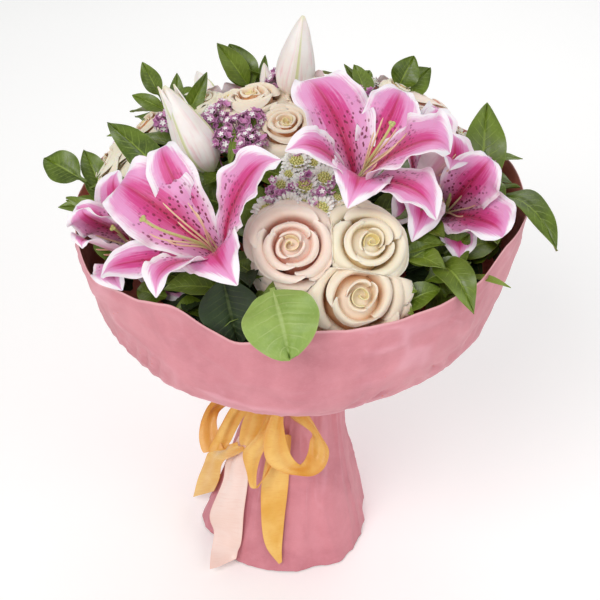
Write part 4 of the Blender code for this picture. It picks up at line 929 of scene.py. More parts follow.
def make_collar(look):
    nu, nv = 76, 330
    t = np.linspace(0, 1, nu)
    az = np.linspace(0, 360, nv, endpoint=False)
    stations = (0.00, 0.16, 0.30, 0.40, 0.47, 0.60, 0.74, 0.86, 0.92, 1.00)
    r = np.interp(t, stations, (RIM_RADIUS, 0.193, 0.189, SHOULDER_RADIUS, 0.170, 0.128, 0.082, 0.0475, NECK_RADIUS + 0.0035, NECK_RADIUS))
    z = np.interp(t, stations, (0.375, 0.340, SHOULDER_Z + 0.022, SHOULDER_Z - 0.001, 0.268, 0.2445, 0.2200, 0.2040, 0.2005, 0.1965))
    r, z = smoothed(r, 4), smoothed(z, 4)
    rim = np.array([smooth_table(RIM_Z, a) for a in az])
    spot = np.stack([np.cos(np.radians(az)), np.sin(np.radians(az)), az * 0], -1)
    rim = rim + 0.0020 * (noise(spot, 5.0, 3) - 0.5) * 2 + 0.0008 * (noise(spot, 16.0, 4) - 0.5) * 2
    lift = np.interp(t, (0, 0.16, 0.30, 1), (1, 1, 0, 0))
    zz = z[:, None] + (rim[None, :] - 0.375) * lift[:, None]
    ca, sa = np.cos(np.radians(az)), np.sin(np.radians(az))
    p = np.stack([r[:, None] * ca, r[:, None] * sa, zz], -1)
    n = surface_normals(p)
    tt, aa = np.meshgrid(t, az, indexing="ij")
    wall, under = ease(0.50, 0.36, tt), ease(0.42, 0.60, tt)
    soft = 0.0040 * (noise(p, 11.0, 21) - 0.5) * 2 + 0.0017 * (noise(p, 26.0, 22) - 0.5) * 2
    # long creases that run across, up and slantwise, over the bent sheet
    q = np.stack([ca * np.ones_like(tt), sa * np.ones_like(tt), tt * 2.4], -1)
    warp = (layered(q, 3.0, 31, 2) - 0.5)[..., None] * np.array((0.5, -0.4, 0.9))
    level = ridges(q * (1, 1, 2.6) + warp, 2.3, 41, 5)
    slant = ridges(np.stack([q[..., 0] * 1.8 + q[..., 2] * 0.6, q[..., 1] * 1.8 - q[..., 2] * 0.5, q[..., 2]], -1) + warp, 2.6, 42, 6)
    upright = ridges(q * (4.0, 4.0, 0.7) + warp * 1.6, 1.9, 43, 5)
    fine = ridges(q * 1.0 + warp, 9.0, 44, 4)
    rough = noise(q, 2.2, 45)
    crease = (0.0012 * level * wall + 0.0013 * slant * (0.5 + 0.5 * wall) + 0.0010 * upright + 0.0005 * fine) * (0.55 + 1.5 * rough)
    # pleats drawn in to the neck
    phase = aa / 360 * 25 + 0.9 * (noise(spot, 3.0, 51) * 2)[None, :] + 0.30 * (noise(q * (2, 2, 1.5), 3.0, 52) - 0.5) * 2
    reach = 0.46 + 0.24 * noise(spot, 9.0, 53)[None, :]
    envelope = ease(0, 1, (tt - reach) / 0.34) * (0.35 + 0.65 * ease(1.0, 0.90, tt))
    pleat = triangle(phase) * 0.0040 * envelope * np.interp(t, (0.5, 0.8, 0.92, 1), (1, 1, 0.5, 0.42))[:, None]
    # the places where the shoulder is dented and puckered; tone paints each fold's crest lighter, a painted highlight,
    # and its trough darker, painted shade
    dent, tone = np.zeros_like(tt), np.zeros_like(tt)
    for az0, t0, wide, tall, deep, turns, slope in ((291, 0.405, 9.0, 0.060, 0.0052, 2.6, 6.0), (309, 0.395, 8.0, 0.060, 0.0056, 2.4, -5.0),
                                                    (227, 0.33, 10.0, 0.085, 0.0040, 4.2, 6.0), (214, 0.40, 8.0, 0.050, 0.0042, 3.6, -7.0),
                                                    (324, 0.34, 9.0, 0.070, 0.0016, 2.4, 4.0), (20, 0.40, 10.0, 0.055, 0.0036, 2.4, 5.0),
                                                    (70, 0.37, 12.0, 0.060, 0.0036, 4.0, -6.0), (118, 0.41, 10.0, 0.055, 0.0036, 2.4, 5.0),
                                                    (160, 0.36, 11.0, 0.070, 0.0034, 3.6, 7.0)):
        h = hill(aa, tt, az0, t0, wide, tall)
        d = (aa - az0 + 180) % 360 - 180
        fold = triangle(d / wide * turns / 2 + (tt - t0) * slope + 0.25 * (noise(q, 8.0, int(az0)) - 0.5))
        dent += h * deep * (0.55 * fold - 0.55)
        tone += h * 0.8 * fold
    # bands where the sheet is folded over itself along the lower front; tone paints each raised band lighter, a painted
    # highlight
    for az0, t0, wide, tilt, size in ((247, 0.405, 15, 0.0006, 0.0013), (281, 0.440, 14, -0.0010, 0.0016), (252, 0.355, 11, 0.0012, 0.0009),
                                      (330, 0.42, 12, 0.0010, 0.0013), (40, 0.43, 16, -0.0008, 0.0014), (140, 0.42, 15, 0.0008, 0.0014),
                                      (188, 0.41, 13, -0.0010, 0.0013)):
        d = (aa - az0 + 180) % 360 - 180
        across = (tt - t0 - tilt * d - 0.006 * np.sin(d * 0.22))
        step = np.exp(-(d / wide) ** 4) * np.exp(-(across / 0.020) ** 2 * (across > 0)) * np.exp(-(across / 0.005) ** 2 * (across < 0))
        dent += size * step
        tone += 0.75 * step
    # the sheet draws in below the rim at the right and the left of the front
    dent -= 0.0095 * hill(aa, tt, 328, 0.345, 30, 0.12) + 0.0048 * hill(aa, tt, 196, 0.22, 24, 0.12) + 0.0045 * hill(aa, tt, 300, 0.44, 16, 0.07)
    spread = 1 - 0.9 * ease(0.05, 0.0, tt)
    p = p + n * ((soft * (0.45 + 0.55 * under) + crease * (0.6 + 0.8 * under) + pleat + dent * 1.0) * spread)[..., None]
    # the sheet's lip leans out a little and ripples
    lip = ease(0.10, 0.0, tt) * (0.0012 + 0.0016 * (noise(q, 4.0, 61) - 0.5))
    p[..., 0] += ca * lip
    p[..., 1] += sa * lip
    low = NECK_RADIUS + 0.0022
    radial = np.hypot(p[..., 0], p[..., 1])
    k = np.where(radial < low, low / radial, 1.0)
    p[..., 0] *= k
    p[..., 1] *= k
    # tone: crease ridges lighter, partly the paper's own whitening and partly painted highlight; pleat crests painted
    # lighter as highlight, pleat hollows painted darker as shade
    tone = tone + 0.9 * (level * wall + slant) * rough - 0.25 * (pleat < -0.001) + 0.35 * ease(0.0006, 0.0024, pleat)
    made = Build()
    made.sheet(p, 0.0005, t, az / 180 - 1, length=0.31, width=0.6, tone=np.clip(tone, -1, 1), ring=True)
    piece = made.make("wrap_collar_paper", look, ("wrap_collar",), "pink_paper", sharp=75)
    return piece


def make_skirt(look):
    nu, nv = 54, 210
    u = np.linspace(0, 1, nu)
    az = np.linspace(0, 360, nv, endpoint=False)
    z = 0.191 * (1 - u)
    r = np.array([skirt_radius(h) for h in z])
    c = np.array([skirt_centre(h) for h in z])
    ca, sa = np.cos(np.radians(az)), np.sin(np.radians(az))
    p = np.stack([c[:, :1] + r[:, None] * ca, c[:, 1:] + r[:, None] * sa, z[:, None] * np.ones_like(ca)], -1)
    uu, aa = np.meshgrid(u, az, indexing="ij")
    spot = np.stack([ca, sa, 0 * ca], -1)
    q = np.stack([ca * np.ones_like(uu), sa * np.ones_like(uu), uu], -1)
    phase = aa / 360 * 7 + 1.3 * noise(spot, 1.7, 71)[None, :] + 0.25 * (noise(q, 1.6, 72) - 0.5) + 0.2 * uu
    # the front stays calm where the ribbon ends hang against it
    calm = 1 - 0.80 * np.exp(-((aa - 262) / 34) ** 4)
    folds = (0.65 * np.sin(2 * np.pi * phase) + 0.35 * triangle(phase + 0.25)) * 0.0026 * ease(0.02, 0.75, uu) * calm
    gather = triangle(aa / 360 * 24 + 1.9 * noise(spot, 5.0, 73)[None, :]) * 0.0012 * ease(0.45, 0.04, uu) * calm
    warp = (layered(q, 2.5, 74, 2) - 0.5)[..., None] * np.array((0.6, -0.5, 0.8))
    crease = 0.0022 * ridges(q * (2.6, 2.6, 0.6) + warp, 2.4, 75, 5) + 0.0008 * ridges(q * (1, 1, 3.0) + warp, 2.6, 76, 6) \
        + 0.0004 * ridges(q + warp, 8.0, 77, 4)
    crease = crease * (0.35 + 0.65 * calm)
    soft = 0.0012 * (noise(p, 18.0, 78) - 0.5) * 2 * calm
    # the free edge of the sheet, lapped over itself down the front right and down the back
    lap = np.zeros_like(uu)
    for start, lean, wide in ((291, 7, 34), (112, -9, 40)):
        d = (aa - start - lean * uu + 180) % 360 - 180
        lap += 0.0013 * ease(-0.7, 0.7, d) * ease(wide, wide * 0.3, d) * ease(0.0, 0.12, uu)
    off = folds + gather + crease + soft + lap - 0.0012 * (1 - calm) * ease(0.05, 0.3, uu)
    p[..., 0] += off * ca
    p[..., 1] += off * sa
    hem = 0.0018 * (noise(spot, 3.0, 79) - 0.3)[None, :] * ease(0.9, 1.0, uu)
    p[..., 2] = np.maximum(p[..., 2] + np.maximum(hem, 0), 0.0)
    # tone: crease ridges lighter, partly the paper's own whitening and partly painted highlight; fold crests painted
    # lighter as highlight, fold hollows painted darker as shade
    tone = 1.2 * ridges(q * (2.6, 2.6, 0.6) + warp, 2.4, 75, 5) * noise(q, 2.0, 80) + 0.35 * ease(0.0010, 0.0034, folds) - 0.30 * ease(-0.001, -0.0034, folds)
    made = Build()
    place_u = 0.02 + 0.96 * u
    made.sheet(p, 0.0005, place_u, az / 180 - 1, length=0.2, width=0.27, tone=np.clip(tone, -1, 1), ring=True)
    piece = made.make("wrap_skirt_paper", look, ("wrap_skirt",), "pink_paper", sharp=75)
    return piece


# ================================================================ ribbon and tie
def satin_look(name, deep, mid, light):
    look = Look(name, rough=0.36, Sheen_Weight=0.35, Sheen_Roughness=0.35, Anisotropic=0.4)
    cloth, side = look.attr("cloth"), look.attr("place", 2)
    x, y = look.attr("cloth", 0), look.attr("cloth", 1)
    tone = look.attr("tone", "value")
    weft = look.math("SINE", look.math("MULTIPLY", x, 6.2832 / 0.00042))
    warp = look.math("SINE", look.math("MULTIPLY", y, 6.2832 / 0.00030))
    slub = look.noise(look.scaled(cloth, (900.0, 90.0, 1.0)), 1.0, 3.0, 0.6)
    cloud = look.noise(cloth, 30.0, 3.0, 0.5)
    colour = look.mix(look.ease(cloud, 0.3, 0.7), mid, light)
    colour = look.mix(look.ease(slub, 0.45, 0.8, 0.0, 0.35), colour, deep)
    # painted shade: tone darkens the satin towards the deep colour in fold hollows and over the knot
    colour = look.mix(look.ease(tone, 0.0, 1.0, 0.0, 0.75), colour, deep)
    edge = look.math("ABSOLUTE", look.attr("place", 1))
    colour = look.mix(look.ease(edge, 0.93, 0.985, 0.0, 0.35), colour, deep)
    colour = look.mix(look.ease(side, 0.2, -0.2, 0.0, 0.30), colour, deep)
    height = look.math("ADD", look.math("MULTIPLY", weft, 0.5), look.math("MULTIPLY", warp, 0.35))
    height = look.math("ADD", height, look.math("MULTIPLY", slub, 1.2))
    rough = look.ease(slub, 0.3, 0.8, 0.30, 0.46)
    return look.done(colour, rough, look.bump(height, 0.18, 0.00008))


# crosswise folds of each ribbon piece: how deep at the start, in the middle and at the end
GATHERS = {"bow_loop_left": (1.0, 0.25, 1.0), "bow_loop_middle": (1.0, 0.35, 0.9), "bow_loop_front": (1.0, 0.2, 1.0),
           "bow_loop_right": (0.9, 0.3, 1.0), "ribbon_tail_left": (0.9, 0.35, 0.05), "ribbon_tail_right": (0.9, 0.25, 0.05),
           "ribbon_tail_pink": (1.0, 0.3, 0.1)}
RIBBON_LENGTHS = {}


def make_ribbon(name, look, slot, seed):
    near, far = ribbon_edges(name)
    a, b = rounded(near, 9), rounded(far, 9)
    nu, nv = len(a), 13
    v = np.linspace(-1, 1, nv)
    w = (v + 1) / 2
    p = a[:, None, :] * (1 - w)[None, :, None] + b[:, None, :] * w[None, :, None]
    n = units(np.cross(np.gradient(p, axis=0), np.gradient(p, axis=1)))
    u = np.linspace(0, 1, nu)
    width = np.linalg.norm(b - a, axis=1)
    deep = np.interp(u, (0, 0.5, 1), GATHERS[name])
    wander = 0.5 * np.sin(u * 5 + seed)[:, None]
    fold = np.cos(np.pi * (v[None, :] * 1.5 + wander)) * 0.0016 * deep[:, None]
    cup = (v[None, :] ** 2 - 0.4) * 0.0011 * np.sin(u * 4 + seed * 2)[:, None]
    ripple = 0.0007 * np.sin(u * 19 + seed)[:, None] * np.abs(v[None, :]) ** 3 * np.sign(v)[None, :]
    size = np.minimum(width / RIBBON_WIDTH * 1.6, 1.0)[:, None]
    p = p + n * ((fold + cup + ripple) * size)[..., None]
    run = np.concatenate([[0], np.cumsum(np.linalg.norm(np.diff(p[:, nv // 2], axis=0), axis=1))])
    # painted shade: tone marks the hollows of the crosswise folds
    tone = np.clip(-fold / 0.0016 * 0.6, 0, 1)
    made = Build()
    made.sheet(p, 0.0004, u, v, length=run[-1], width=RIBBON_WIDTH / 2, tone=tone)
    piece = made.make(name + "_satin", look, (name,), slot, sharp=70)
    area = 0.0
    for row, nxt in zip(p[:-1], p[1:]):
        area += float(np.sum(np.linalg.norm(np.cross(row[1:] - row[:-1], nxt[:-1] - row[:-1]), axis=1)))
    RIBBON_LENGTHS[name] = (run[-1], area)


def make_bow():
    gold = satin_look("satin_gold", (0.70, 0.235, 0.022), (0.75, 0.390, 0.054), (0.87, 0.550, 0.150))
    peach = satin_look("satin_peach", (0.84, 0.520, 0.430), (0.92, 0.690, 0.600), (0.95, 0.760, 0.690))
    for i, name in enumerate(RIBBONS):
        pink = name == "ribbon_tail_pink"
        make_ribbon(name, peach if pink else gold, "peach_satin" if pink else "gold_satin", 1.0 + 1.7 * i)
    # the band: two laps round the neck with soft wrinkles
    nu, nv = 14, 120
    u, az = np.linspace(0, 1, nu), np.linspace(0, 2 * math.pi, nv, endpoint=False)
    uu, aa = np.meshgrid(u, az, indexing="ij")
    q = np.stack([np.cos(aa), np.sin(aa), uu], -1)
    r = NECK_RADIUS + 0.0035 + 0.0007 * np.sin(uu * 15 + 2.5 * noise(q, 2.0, 91)) + 0.0005 * (noise(q * (3, 3, 1), 2.0, 92) - 0.5)
    p = np.stack([r * np.cos(aa), r * np.sin(aa), 0.1960 - 0.0170 * uu + 0.0006 * np.sin(3 * aa)], -1)
    band = Build()
    band.sheet(p, 0.0007, u, az / math.pi - 1, length=0.017, width=0.127, tone=0.0, ring=True)
    piece = band.make("ribbon_band_satin", gold, ("ribbon_band",), "gold_satin", sharp=70)
    # the knot: a wrapped, wrinkled pad, painted a little darker all over through its tone, as shade
    knot = Build()
    centre = np.array((-0.006, -NECK_RADIUS - 0.0125, 0.190))
    a, e = np.meshgrid(np.linspace(0, 2 * math.pi, 36, endpoint=False), np.linspace(-1.45, 1.45, 15))
    grow = 1 + 0.07 * np.sin(a * 5 + 1.5 * e) * np.cos(e) + 0.04 * np.sin(a * 11 + 1)
    x = 0.0120 * np.cos(e) * np.cos(a) * grow
    z = 0.0110 * np.cos(e) * np.sin(a) * grow
    y = -0.0085 * np.sin(e)
    pts = centre + np.stack([x, y, z], -1)
    ring = np.arange(36)
    idx = np.arange(15 * 36).reshape(15, 36)
    nxt = np.roll(idx, -1, axis=1)
    faces = [np.stack([idx[:-1], nxt[:-1], nxt[1:], idx[1:]], -1).reshape(-1, 4), idx[:1, ::-1], idx[-1:]]
    place = np.stack([np.broadcast_to(np.linspace(0, 1, 15)[:, None], (15, 36)), np.broadcast_to(ring / 18 - 1, (15, 36)), np.ones((15, 36))], -1)
    knot.add(pts, faces, place, place * (0.02, 0.012, 1), 0.15)
    knot.make("ribbon_knot_satin", gold, ("ribbon_knot",), "gold_satin", sharp=80)


def make_tie():
    look = Look("cord_jute", rough=0.9)
    x, y = look.attr("cloth", 0), look.attr("cloth", 1)
    twist = look.math("SINE", look.math("ADD", look.math("MULTIPLY", x, 2600.0), look.math("MULTIPLY", y, 1500.0)))
    hair = look.noise(look.attr("cloth"), 1800.0, 4.0, 0.7)
    colour = look.mix(look.ease(twist, -0.9, 0.6), (0.24, 0.155, 0.075), (0.52, 0.385, 0.215))
    colour = look.mix(look.ease(hair, 0.5, 0.8, 0.0, 0.5), colour, (0.66, 0.53, 0.34))
    height = look.math("ADD", twist, look.math("MULTIPLY", hair, 0.8))
    material = look.done(colour, None, look.bump(height, 0.6, 0.0003))
    a = np.linspace(0, 2 * math.pi * 4, 200)
    p = np.stack([(TIE_RADIUS + 0.0001) * np.cos(a), (TIE_RADIUS + 0.0001) * np.sin(a), NECK_Z - 0.0158 + 0.0076 * a / a[-1]], -1)
    made = Build()
    made.tube(p, 0.00095, 6)
    made.make("binding_cord", material, ("binding_tie",), "jute_cord")


PAPER_LOOK = paper_look()
make_skirt(PAPER_LOOK)
make_collar(PAPER_LOOK)
make_bow()
make_tie()


# ================================================================ lilies
def lily_look():
    look = Look("lily_petal", rough=0.46, Sheen_Weight=0.15, Sheen_Roughness=0.4, Subsurface_Weight=0.08, Subsurface_Scale=0.004)
    u, v, side = look.attr("place", 0), look.attr("place", 1), look.attr("place", 2)
    cloth, narrow = look.attr("cloth"), look.attr("tone", "value")
    streak = look.noise(look.scaled(cloth, (34.0, 620.0, 1.0)), 1.0, 3.0, 0.6, 0.5)
    blotch = look.noise(cloth, 75.0, 3.0, 0.6, 0.4)
    a = look.math("ABSOLUTE", v)
    fray = look.math("ADD", a, look.math("MULTIPLY", look.math("SUBTRACT", streak, 0.5), 0.46))
    fray = look.math("ADD", fray, look.math("MULTIPLY", look.math("SUBTRACT", blotch, 0.5), 0.26))
    pale, pink, magenta, crimson = (0.93, 0.86, 0.91), (0.78, 0.32, 0.59), (0.67, 0.060, 0.290), (0.48, 0.012, 0.090)
    depth = look.math("MULTIPLY", look.ease(fray, 0.64, 0.03), look.ease(u, 0.98, 0.50), clamp=True)
    colour = look.mix(look.ease(depth, 0.0, 0.50), pink, magenta)
    heart = look.math("MULTIPLY", look.ease(fray, 0.44, 0.02), look.ease(u, 0.88, 0.32))
    colour = look.mix(look.math("MULTIPLY", heart, 0.92), colour, crimson)
    rib = look.math("MULTIPLY", look.ease(a, 0.10, 0.02), look.ease(u, 0.98, 0.66))
    colour = look.mix(look.math("MULTIPLY", rib, 0.80), colour, (0.46, 0.010, 0.085))
    # the lowest third is paler again, and carries the spots
    low = look.math("MULTIPLY", look.ease(u, 0.58, 0.20), look.ease(a, 0.10, 0.36))
    colour = look.mix(look.math("MULTIPLY", low, 0.62), colour, (0.80, 0.42, 0.66))
    colour = look.mix(look.ease(streak, 0.52, 0.75, 0.0, 0.24), colour, (0.86, 0.42, 0.68))
    # the white margin is wider on the three narrow outer tepals and closes over the tip
    rim = look.math("ADD", fray, look.math("MULTIPLY", narrow, 0.10))
    rim = look.math("ADD", rim, look.ease(u, 0.72, 1.0, 0.0, 0.66))
    colour = look.mix(look.ease(rim, 0.70, 1.00), colour, pale)
    near = look.ease(u, 0.150, 0.045)
    colour = look.mix(look.math("MULTIPLY", near, 0.85), colour, (0.80, 0.80, 0.52))
    # raised dark spots towards the throat
    zone = look.math("MULTIPLY", look.math("MULTIPLY", look.ease(u, 0.08, 0.14), look.ease(u, 0.70, 0.46)), look.ease(a, 0.96, 0.70))
    dot = look.ease(look.spots(look.scaled(cloth, (1.0, 1.30, 1.0)), 255.0, 0.90), 0.38, 0.28)
    dot = look.math("MULTIPLY", dot, zone, clamp=True)
    front = look.mix(look.math("MULTIPLY", dot, 0.92), colour, (0.16, 0.002, 0.030))
    back = look.mix(look.ease(depth, 0.0, 0.7, 0.10, 0.62), (0.88, 0.78, 0.82), (0.62, 0.16, 0.33))
    back = look.mix(look.ease(a, 0.16, 0.04, 0.0, 0.55), back, (0.56, 0.40, 0.34))
    back = look.mix(look.ease(streak, 0.5, 0.8, 0.0, 0.3), back, (0.90, 0.82, 0.82))
    colour = look.mix(look.ease(side, -0.1, 0.1), back, front)
    fine = look.noise(cloth, 1500.0, 2.0, 0.5)
    height = look.math("ADD", look.math("MULTIPLY", streak, 1.0), look.math("MULTIPLY", fine, 0.25))
    height = look.math("ADD", height, look.math("MULTIPLY", look.math("MULTIPLY", dot, look.ease(side, 0.0, 0.1)), 1.3))
    return look.done(colour, look.ease(streak, 0.3, 0.7, 0.40, 0.56), look.bump(height, 0.45, 0.0006))


def lily_parts_look():
    """Filaments (tone 0), pistil (tone 1), its tip (tone 2) and the base of the flower (tone 3)."""
    look = Look("lily_filament", rough=0.42, Subsurface_Weight=0.1, Subsurface_Scale=0.003)
    u, tone = look.attr("place", 0), look.attr("tone", "value")
    grain = look.noise(look.attr("cloth"), 900.0, 3.0, 0.6)
    filament = look.mix(look.ease(u, 0.0, 0.9), (0.72, 0.78, 0.42), (0.90, 0.66, 0.42))
    pistil = look.mix(look.ease(u, 0.1, 1.0), (0.52, 0.66, 0.22), (0.62, 0.62, 0.22))
    knob = look.mix(grain, (0.34, 0.36, 0.08), (0.60, 0.58, 0.20))
    base = look.mix(look.ease(u, 0.2, 1.0), (0.30, 0.44, 0.12), (0.82, 0.80, 0.66))
    colour = look.mix(look.ease(tone, 0.4, 0.6), filament, pistil)
    colour = look.mix(look.ease(tone, 1.4, 1.6), colour, knob)
    colour = look.mix(look.ease(tone, 2.4, 2.6), colour, base)
    colour = look.mix(look.ease(grain, 0.4, 0.8, 0.0, 0.25), colour, (0.95, 0.90, 0.70))
    return look.done(colour, None, look.bump(grain, 0.3, 0.0003))


def add_tepal(made, spec, seed, broad, reach=1.0, grid=(46, 23)):
    nu, nv = grid
    u = np.linspace(0, 1, nu)
    v = np.linspace(-1, 1, nv)
    p = bez(spec["curve"], u)
    n = units(np.cross(bez_slope(spec["curve"], u), spec["side"]))
    length = float(np.sum(np.linalg.norm(np.diff(p, axis=0), axis=1)))
    half = spec["width"] / 2 * np.array([tepal_width(k) for k in u]) * reach
    vv, uu = np.meshgrid(v, u)
    rng = np.random.default_rng(seed)
    f, g, a, b = rng.uniform(2.6, 4.4, 2).tolist() + rng.uniform(0, 6.28, 2).tolist()
    left, right = np.sin(2 * np.pi * f * uu + a), np.sin(2 * np.pi * g * uu + b)
    wave = np.where(vv < 0, left, right) + 0.45 * np.where(vv < 0, np.sin(2 * np.pi * f * 2.1 * uu + b), np.sin(2 * np.pi * g * 1.9 * uu + a))
    live = ease(0.14, 0.36, uu) * ease(1.0, 0.84, uu)
    strong = 0.055 if broad else 0.035
    ruffle = np.abs(vv) ** 2.6 * wave * spec["width"] * strong * live
    edge = 1 + 0.045 * np.abs(vv) ** 3 * np.where(vv < 0, right, left) * live
    h = half[:, None] * edge
    off = 0.20 * vv**2 * half[:, None] + ruffle
    off -= (0.0011 if broad else 0.0007) * np.exp(-(vv / 0.11) ** 2) * ease(0.02, 0.2, uu) * ease(1.0, 0.8, uu)
    off += 0.0005 * (np.exp(-((np.abs(vv) - 0.26) / 0.12) ** 2)) * ease(0.5, 0.1, uu)
    off += 0.0012 * (noise(np.stack([uu * 3, vv * 1.3, np.full_like(uu, seed % 50)], -1), 1.0, 5) - 0.5) * live
    # the tip bends back
    back = ease(0.78, 1.0, uu) ** 1.4 * length * 0.055
    q = p[:, None, :] + spec["side"] * (h * vv)[..., None] + n[:, None, :] * (off - back)[..., None]
    # a slight sideways lean keeps the six from looking copied
    q += spec["side"] * (0.0022 * np.sin(np.pi * uu) * rng.uniform(-1, 1))[..., None]
    # the three broad ones lie over the three narrow ones
    q += n[:, None, :] * (float(np.interp(spec["width"], (0.034, 0.044, 0.062), (-0.0042, 0.0002, 0.0042))) * np.sin(np.pi * uu ** 0.8))[..., None]
    thick = 0.0004 + 0.0005 * (1 - vv**2) * (1 - 0.7 * uu)
    made.sheet(q, thick, u, v, length=length, width=spec["width"] / 2, tone=0.0 if broad else 1.0)


# where the front view shows the ends of the filaments and of the pistil: (board x, y, chord)
FILAMENTS = {
    "lily_a": (((163, 203, 0.072), (188, 203, 0.064), (150, 234, 0.066), (166, 240, 0.060), (196, 212, 0.066), (178, 222, 0.068)), (143, 219, 0.082)),
    "lily_b": (((383, 118, 0.070), (397, 128, 0.068), (407, 133, 0.066), (399, 141, 0.062), (377, 163, 0.050), (374, 132, 0.064)), (392, 124, 0.078)),
}


def make_lily(name, petals, parts):
    throat, axis, specs = lily_tepals(name)
    made, small = Build(), Build()
    seed = 100 + 13 * list(LILIES).index(name)
    for i, spec in enumerate(specs):
        add_tepal(made, spec, seed + i, spec["width"] > 0.0385, grid=(44, 23) if name in FILAMENTS else (32, 17))
    x, y = frame_of(axis)
    rng = np.random.default_rng(seed)
    ends, knob = FILAMENTS.get(name, (None, None))
    if ends:
        tips = [at_chord(bx, by, throat, chord, axis, 0.055) for bx, by, chord in ends]
        top = at_chord(*knob[:2], throat, knob[2], axis, 0.062)
    else:
        lean = rng.uniform(0, 6.28)
        tips = []
        for k in range(6):
            a = lean + k * math.pi / 3 + rng.uniform(-0.2, 0.2)
            tips.append(throat + axis * rng.uniform(0.034, 0.042) + (x * math.cos(a) + y * math.sin(a)) * rng.uniform(0.012, 0.018))
        top = throat + axis * 0.046 + (x * math.cos(lean) + y * math.sin(lean)) * 0.020
    if name == "lily_c":
        top = at_chord(113, 228, throat, 0.050, axis, 0.04)
    t = np.linspace(0, 1, 16)
    for k, tip in enumerate(tips):
        a = k * math.pi / 3
        foot = throat - axis * 0.008 + (x * math.cos(a) + y * math.sin(a)) * 0.0018
        reach = np.linalg.norm(tip - foot)
        p = bez((foot, foot + axis * reach * 0.42, tip - axis * reach * 0.18 - unit(tip - foot) * reach * 0.16, tip), t)
        small.tube(p, np.interp(t, (0, 0.9, 0.97, 1), (0.0010, 0.00062, 0.00080, 0.00030)), 6, 0.0)
    foot = throat - axis * 0.010
    reach = np.linalg.norm(top - foot)
    p = bez((foot, foot + axis * reach * 0.40, top - axis * reach * 0.20 - unit(top - foot) * reach * 0.15, top), t)
    small.tube(p, np.interp(t, (0, 0.2, 0.95, 1), (0.0022, 0.0013, 0.0011, 0.0014)), 8, 1.0)
    head = unit(p[-1] - p[-2])
    hx, hy = frame_of(head)
    for k in range(3):
        a = k * 2 * math.pi / 3
        small.turned(p[-1] + (hx * math.cos(a) + hy * math.sin(a)) * 0.0013, head,
                     [(0, -0.0018), (0.0011, -0.0012), (0.0017, 0.0), (0.0015, 0.0010), (0.0007, 0.0017), (0, 0.0018)], 8, 2.0)
    small.turned(throat - axis * 0.0310, axis, [(0, 0), (0.0036, 0.0003), (0.0044, 0.004), (0.0052, 0.012), (0.0062, 0.020), (0.0060, 0.024), (0, 0.0242)], 14, 3.0,
                 lambda h, a: 1 + 0.07 * np.cos(3 * a))
    main = made.make(name + "_tepals", petals, (name,), "lily_pink", sharp=80)
    rest = small.make(name + "_stamens", parts, (), "lily_pink", sharp=60)
    return main, rest


# ================================================================ roses
def rose_look(name, deep, mid, pale, back, heart):
    """tone runs from 0 at the tight middle to 1 at the outermost petals."""
    look = Look(name, rough=0.50, Sheen_Weight=0.25, Sheen_Roughness=0.35, Subsurface_Weight=0.12, Subsurface_Scale=0.004)
    u, v, side = look.attr("place", 0), look.attr("place", 1), look.attr("place", 2)
    cloth, layer = look.attr("cloth"), look.attr("tone", "value")
    vein = look.noise(look.scaled(cloth, (60.0, 520.0, 1.0)), 1.0, 4.0, 0.6, 0.8)
    cloud = look.noise(cloth, 110.0, 3.0, 0.55)
    up = look.math("ADD", u, look.math("MULTIPLY", look.math("SUBTRACT", cloud, 0.5), 0.16))
    outer = look.ease(layer, 0.30, 0.80)
    colour = look.mix(look.ease(up, 0.48, 0.90), deep, mid)
    colour = look.mix(look.math("MULTIPLY", outer, look.ease(up, 0.40, 0.72, 0.15, 0.80)), colour, back)
    colour = look.mix(look.ease(up, 0.84, 1.0, 0.0, 0.80), colour, pale)
    # the outer faces are the paler ones
    under = look.mix(look.ease(up, 0.35, 0.90), mid, back)
    under = look.mix(look.ease(up, 0.90, 1.0, 0.0, 0.6), under, pale)
    colour = look.mix(look.ease(side, 0.1, -0.1), colour, under)
    middle = look.mix(look.ease(up, 0.62, 0.92), mid, heart)
    colour = look.mix(look.ease(layer, 0.14, 0.04), colour, middle)
    colour = look.mix(look.ease(vein, 0.52, 0.78, 0.0, 0.12), colour, mid)
    green = look.math("MULTIPLY", look.ease(look.noise(cloth, 38.0, 2.0), 0.62, 0.80), look.math("MULTIPLY", outer, look.ease(up, 0.80, 1.0)))
    colour = look.mix(look.math("MULTIPLY", green, 0.12), colour, (0.76, 0.74, 0.50))
    height = look.math("ADD", vein, look.math("MULTIPLY", cloud, 0.5))
    return look.done(colour, look.ease(vein, 0.3, 0.7, 0.44, 0.60), look.bump(height, 0.25, 0.0004))


ROSE_LAYERS = (
    # petals, neck radius, rim height, half width in degrees, roll, all as shares of the rose's radius
    (3, 0.250, 0.580, 62, 0.060), (3, 0.430, 0.560, 68, 0.150), (3, 0.630, 0.470, 68, 0.260), (4, 0.765, 0.280, 54, 0.370),
    (5, 0.760, 0.060, 46, 0.400))


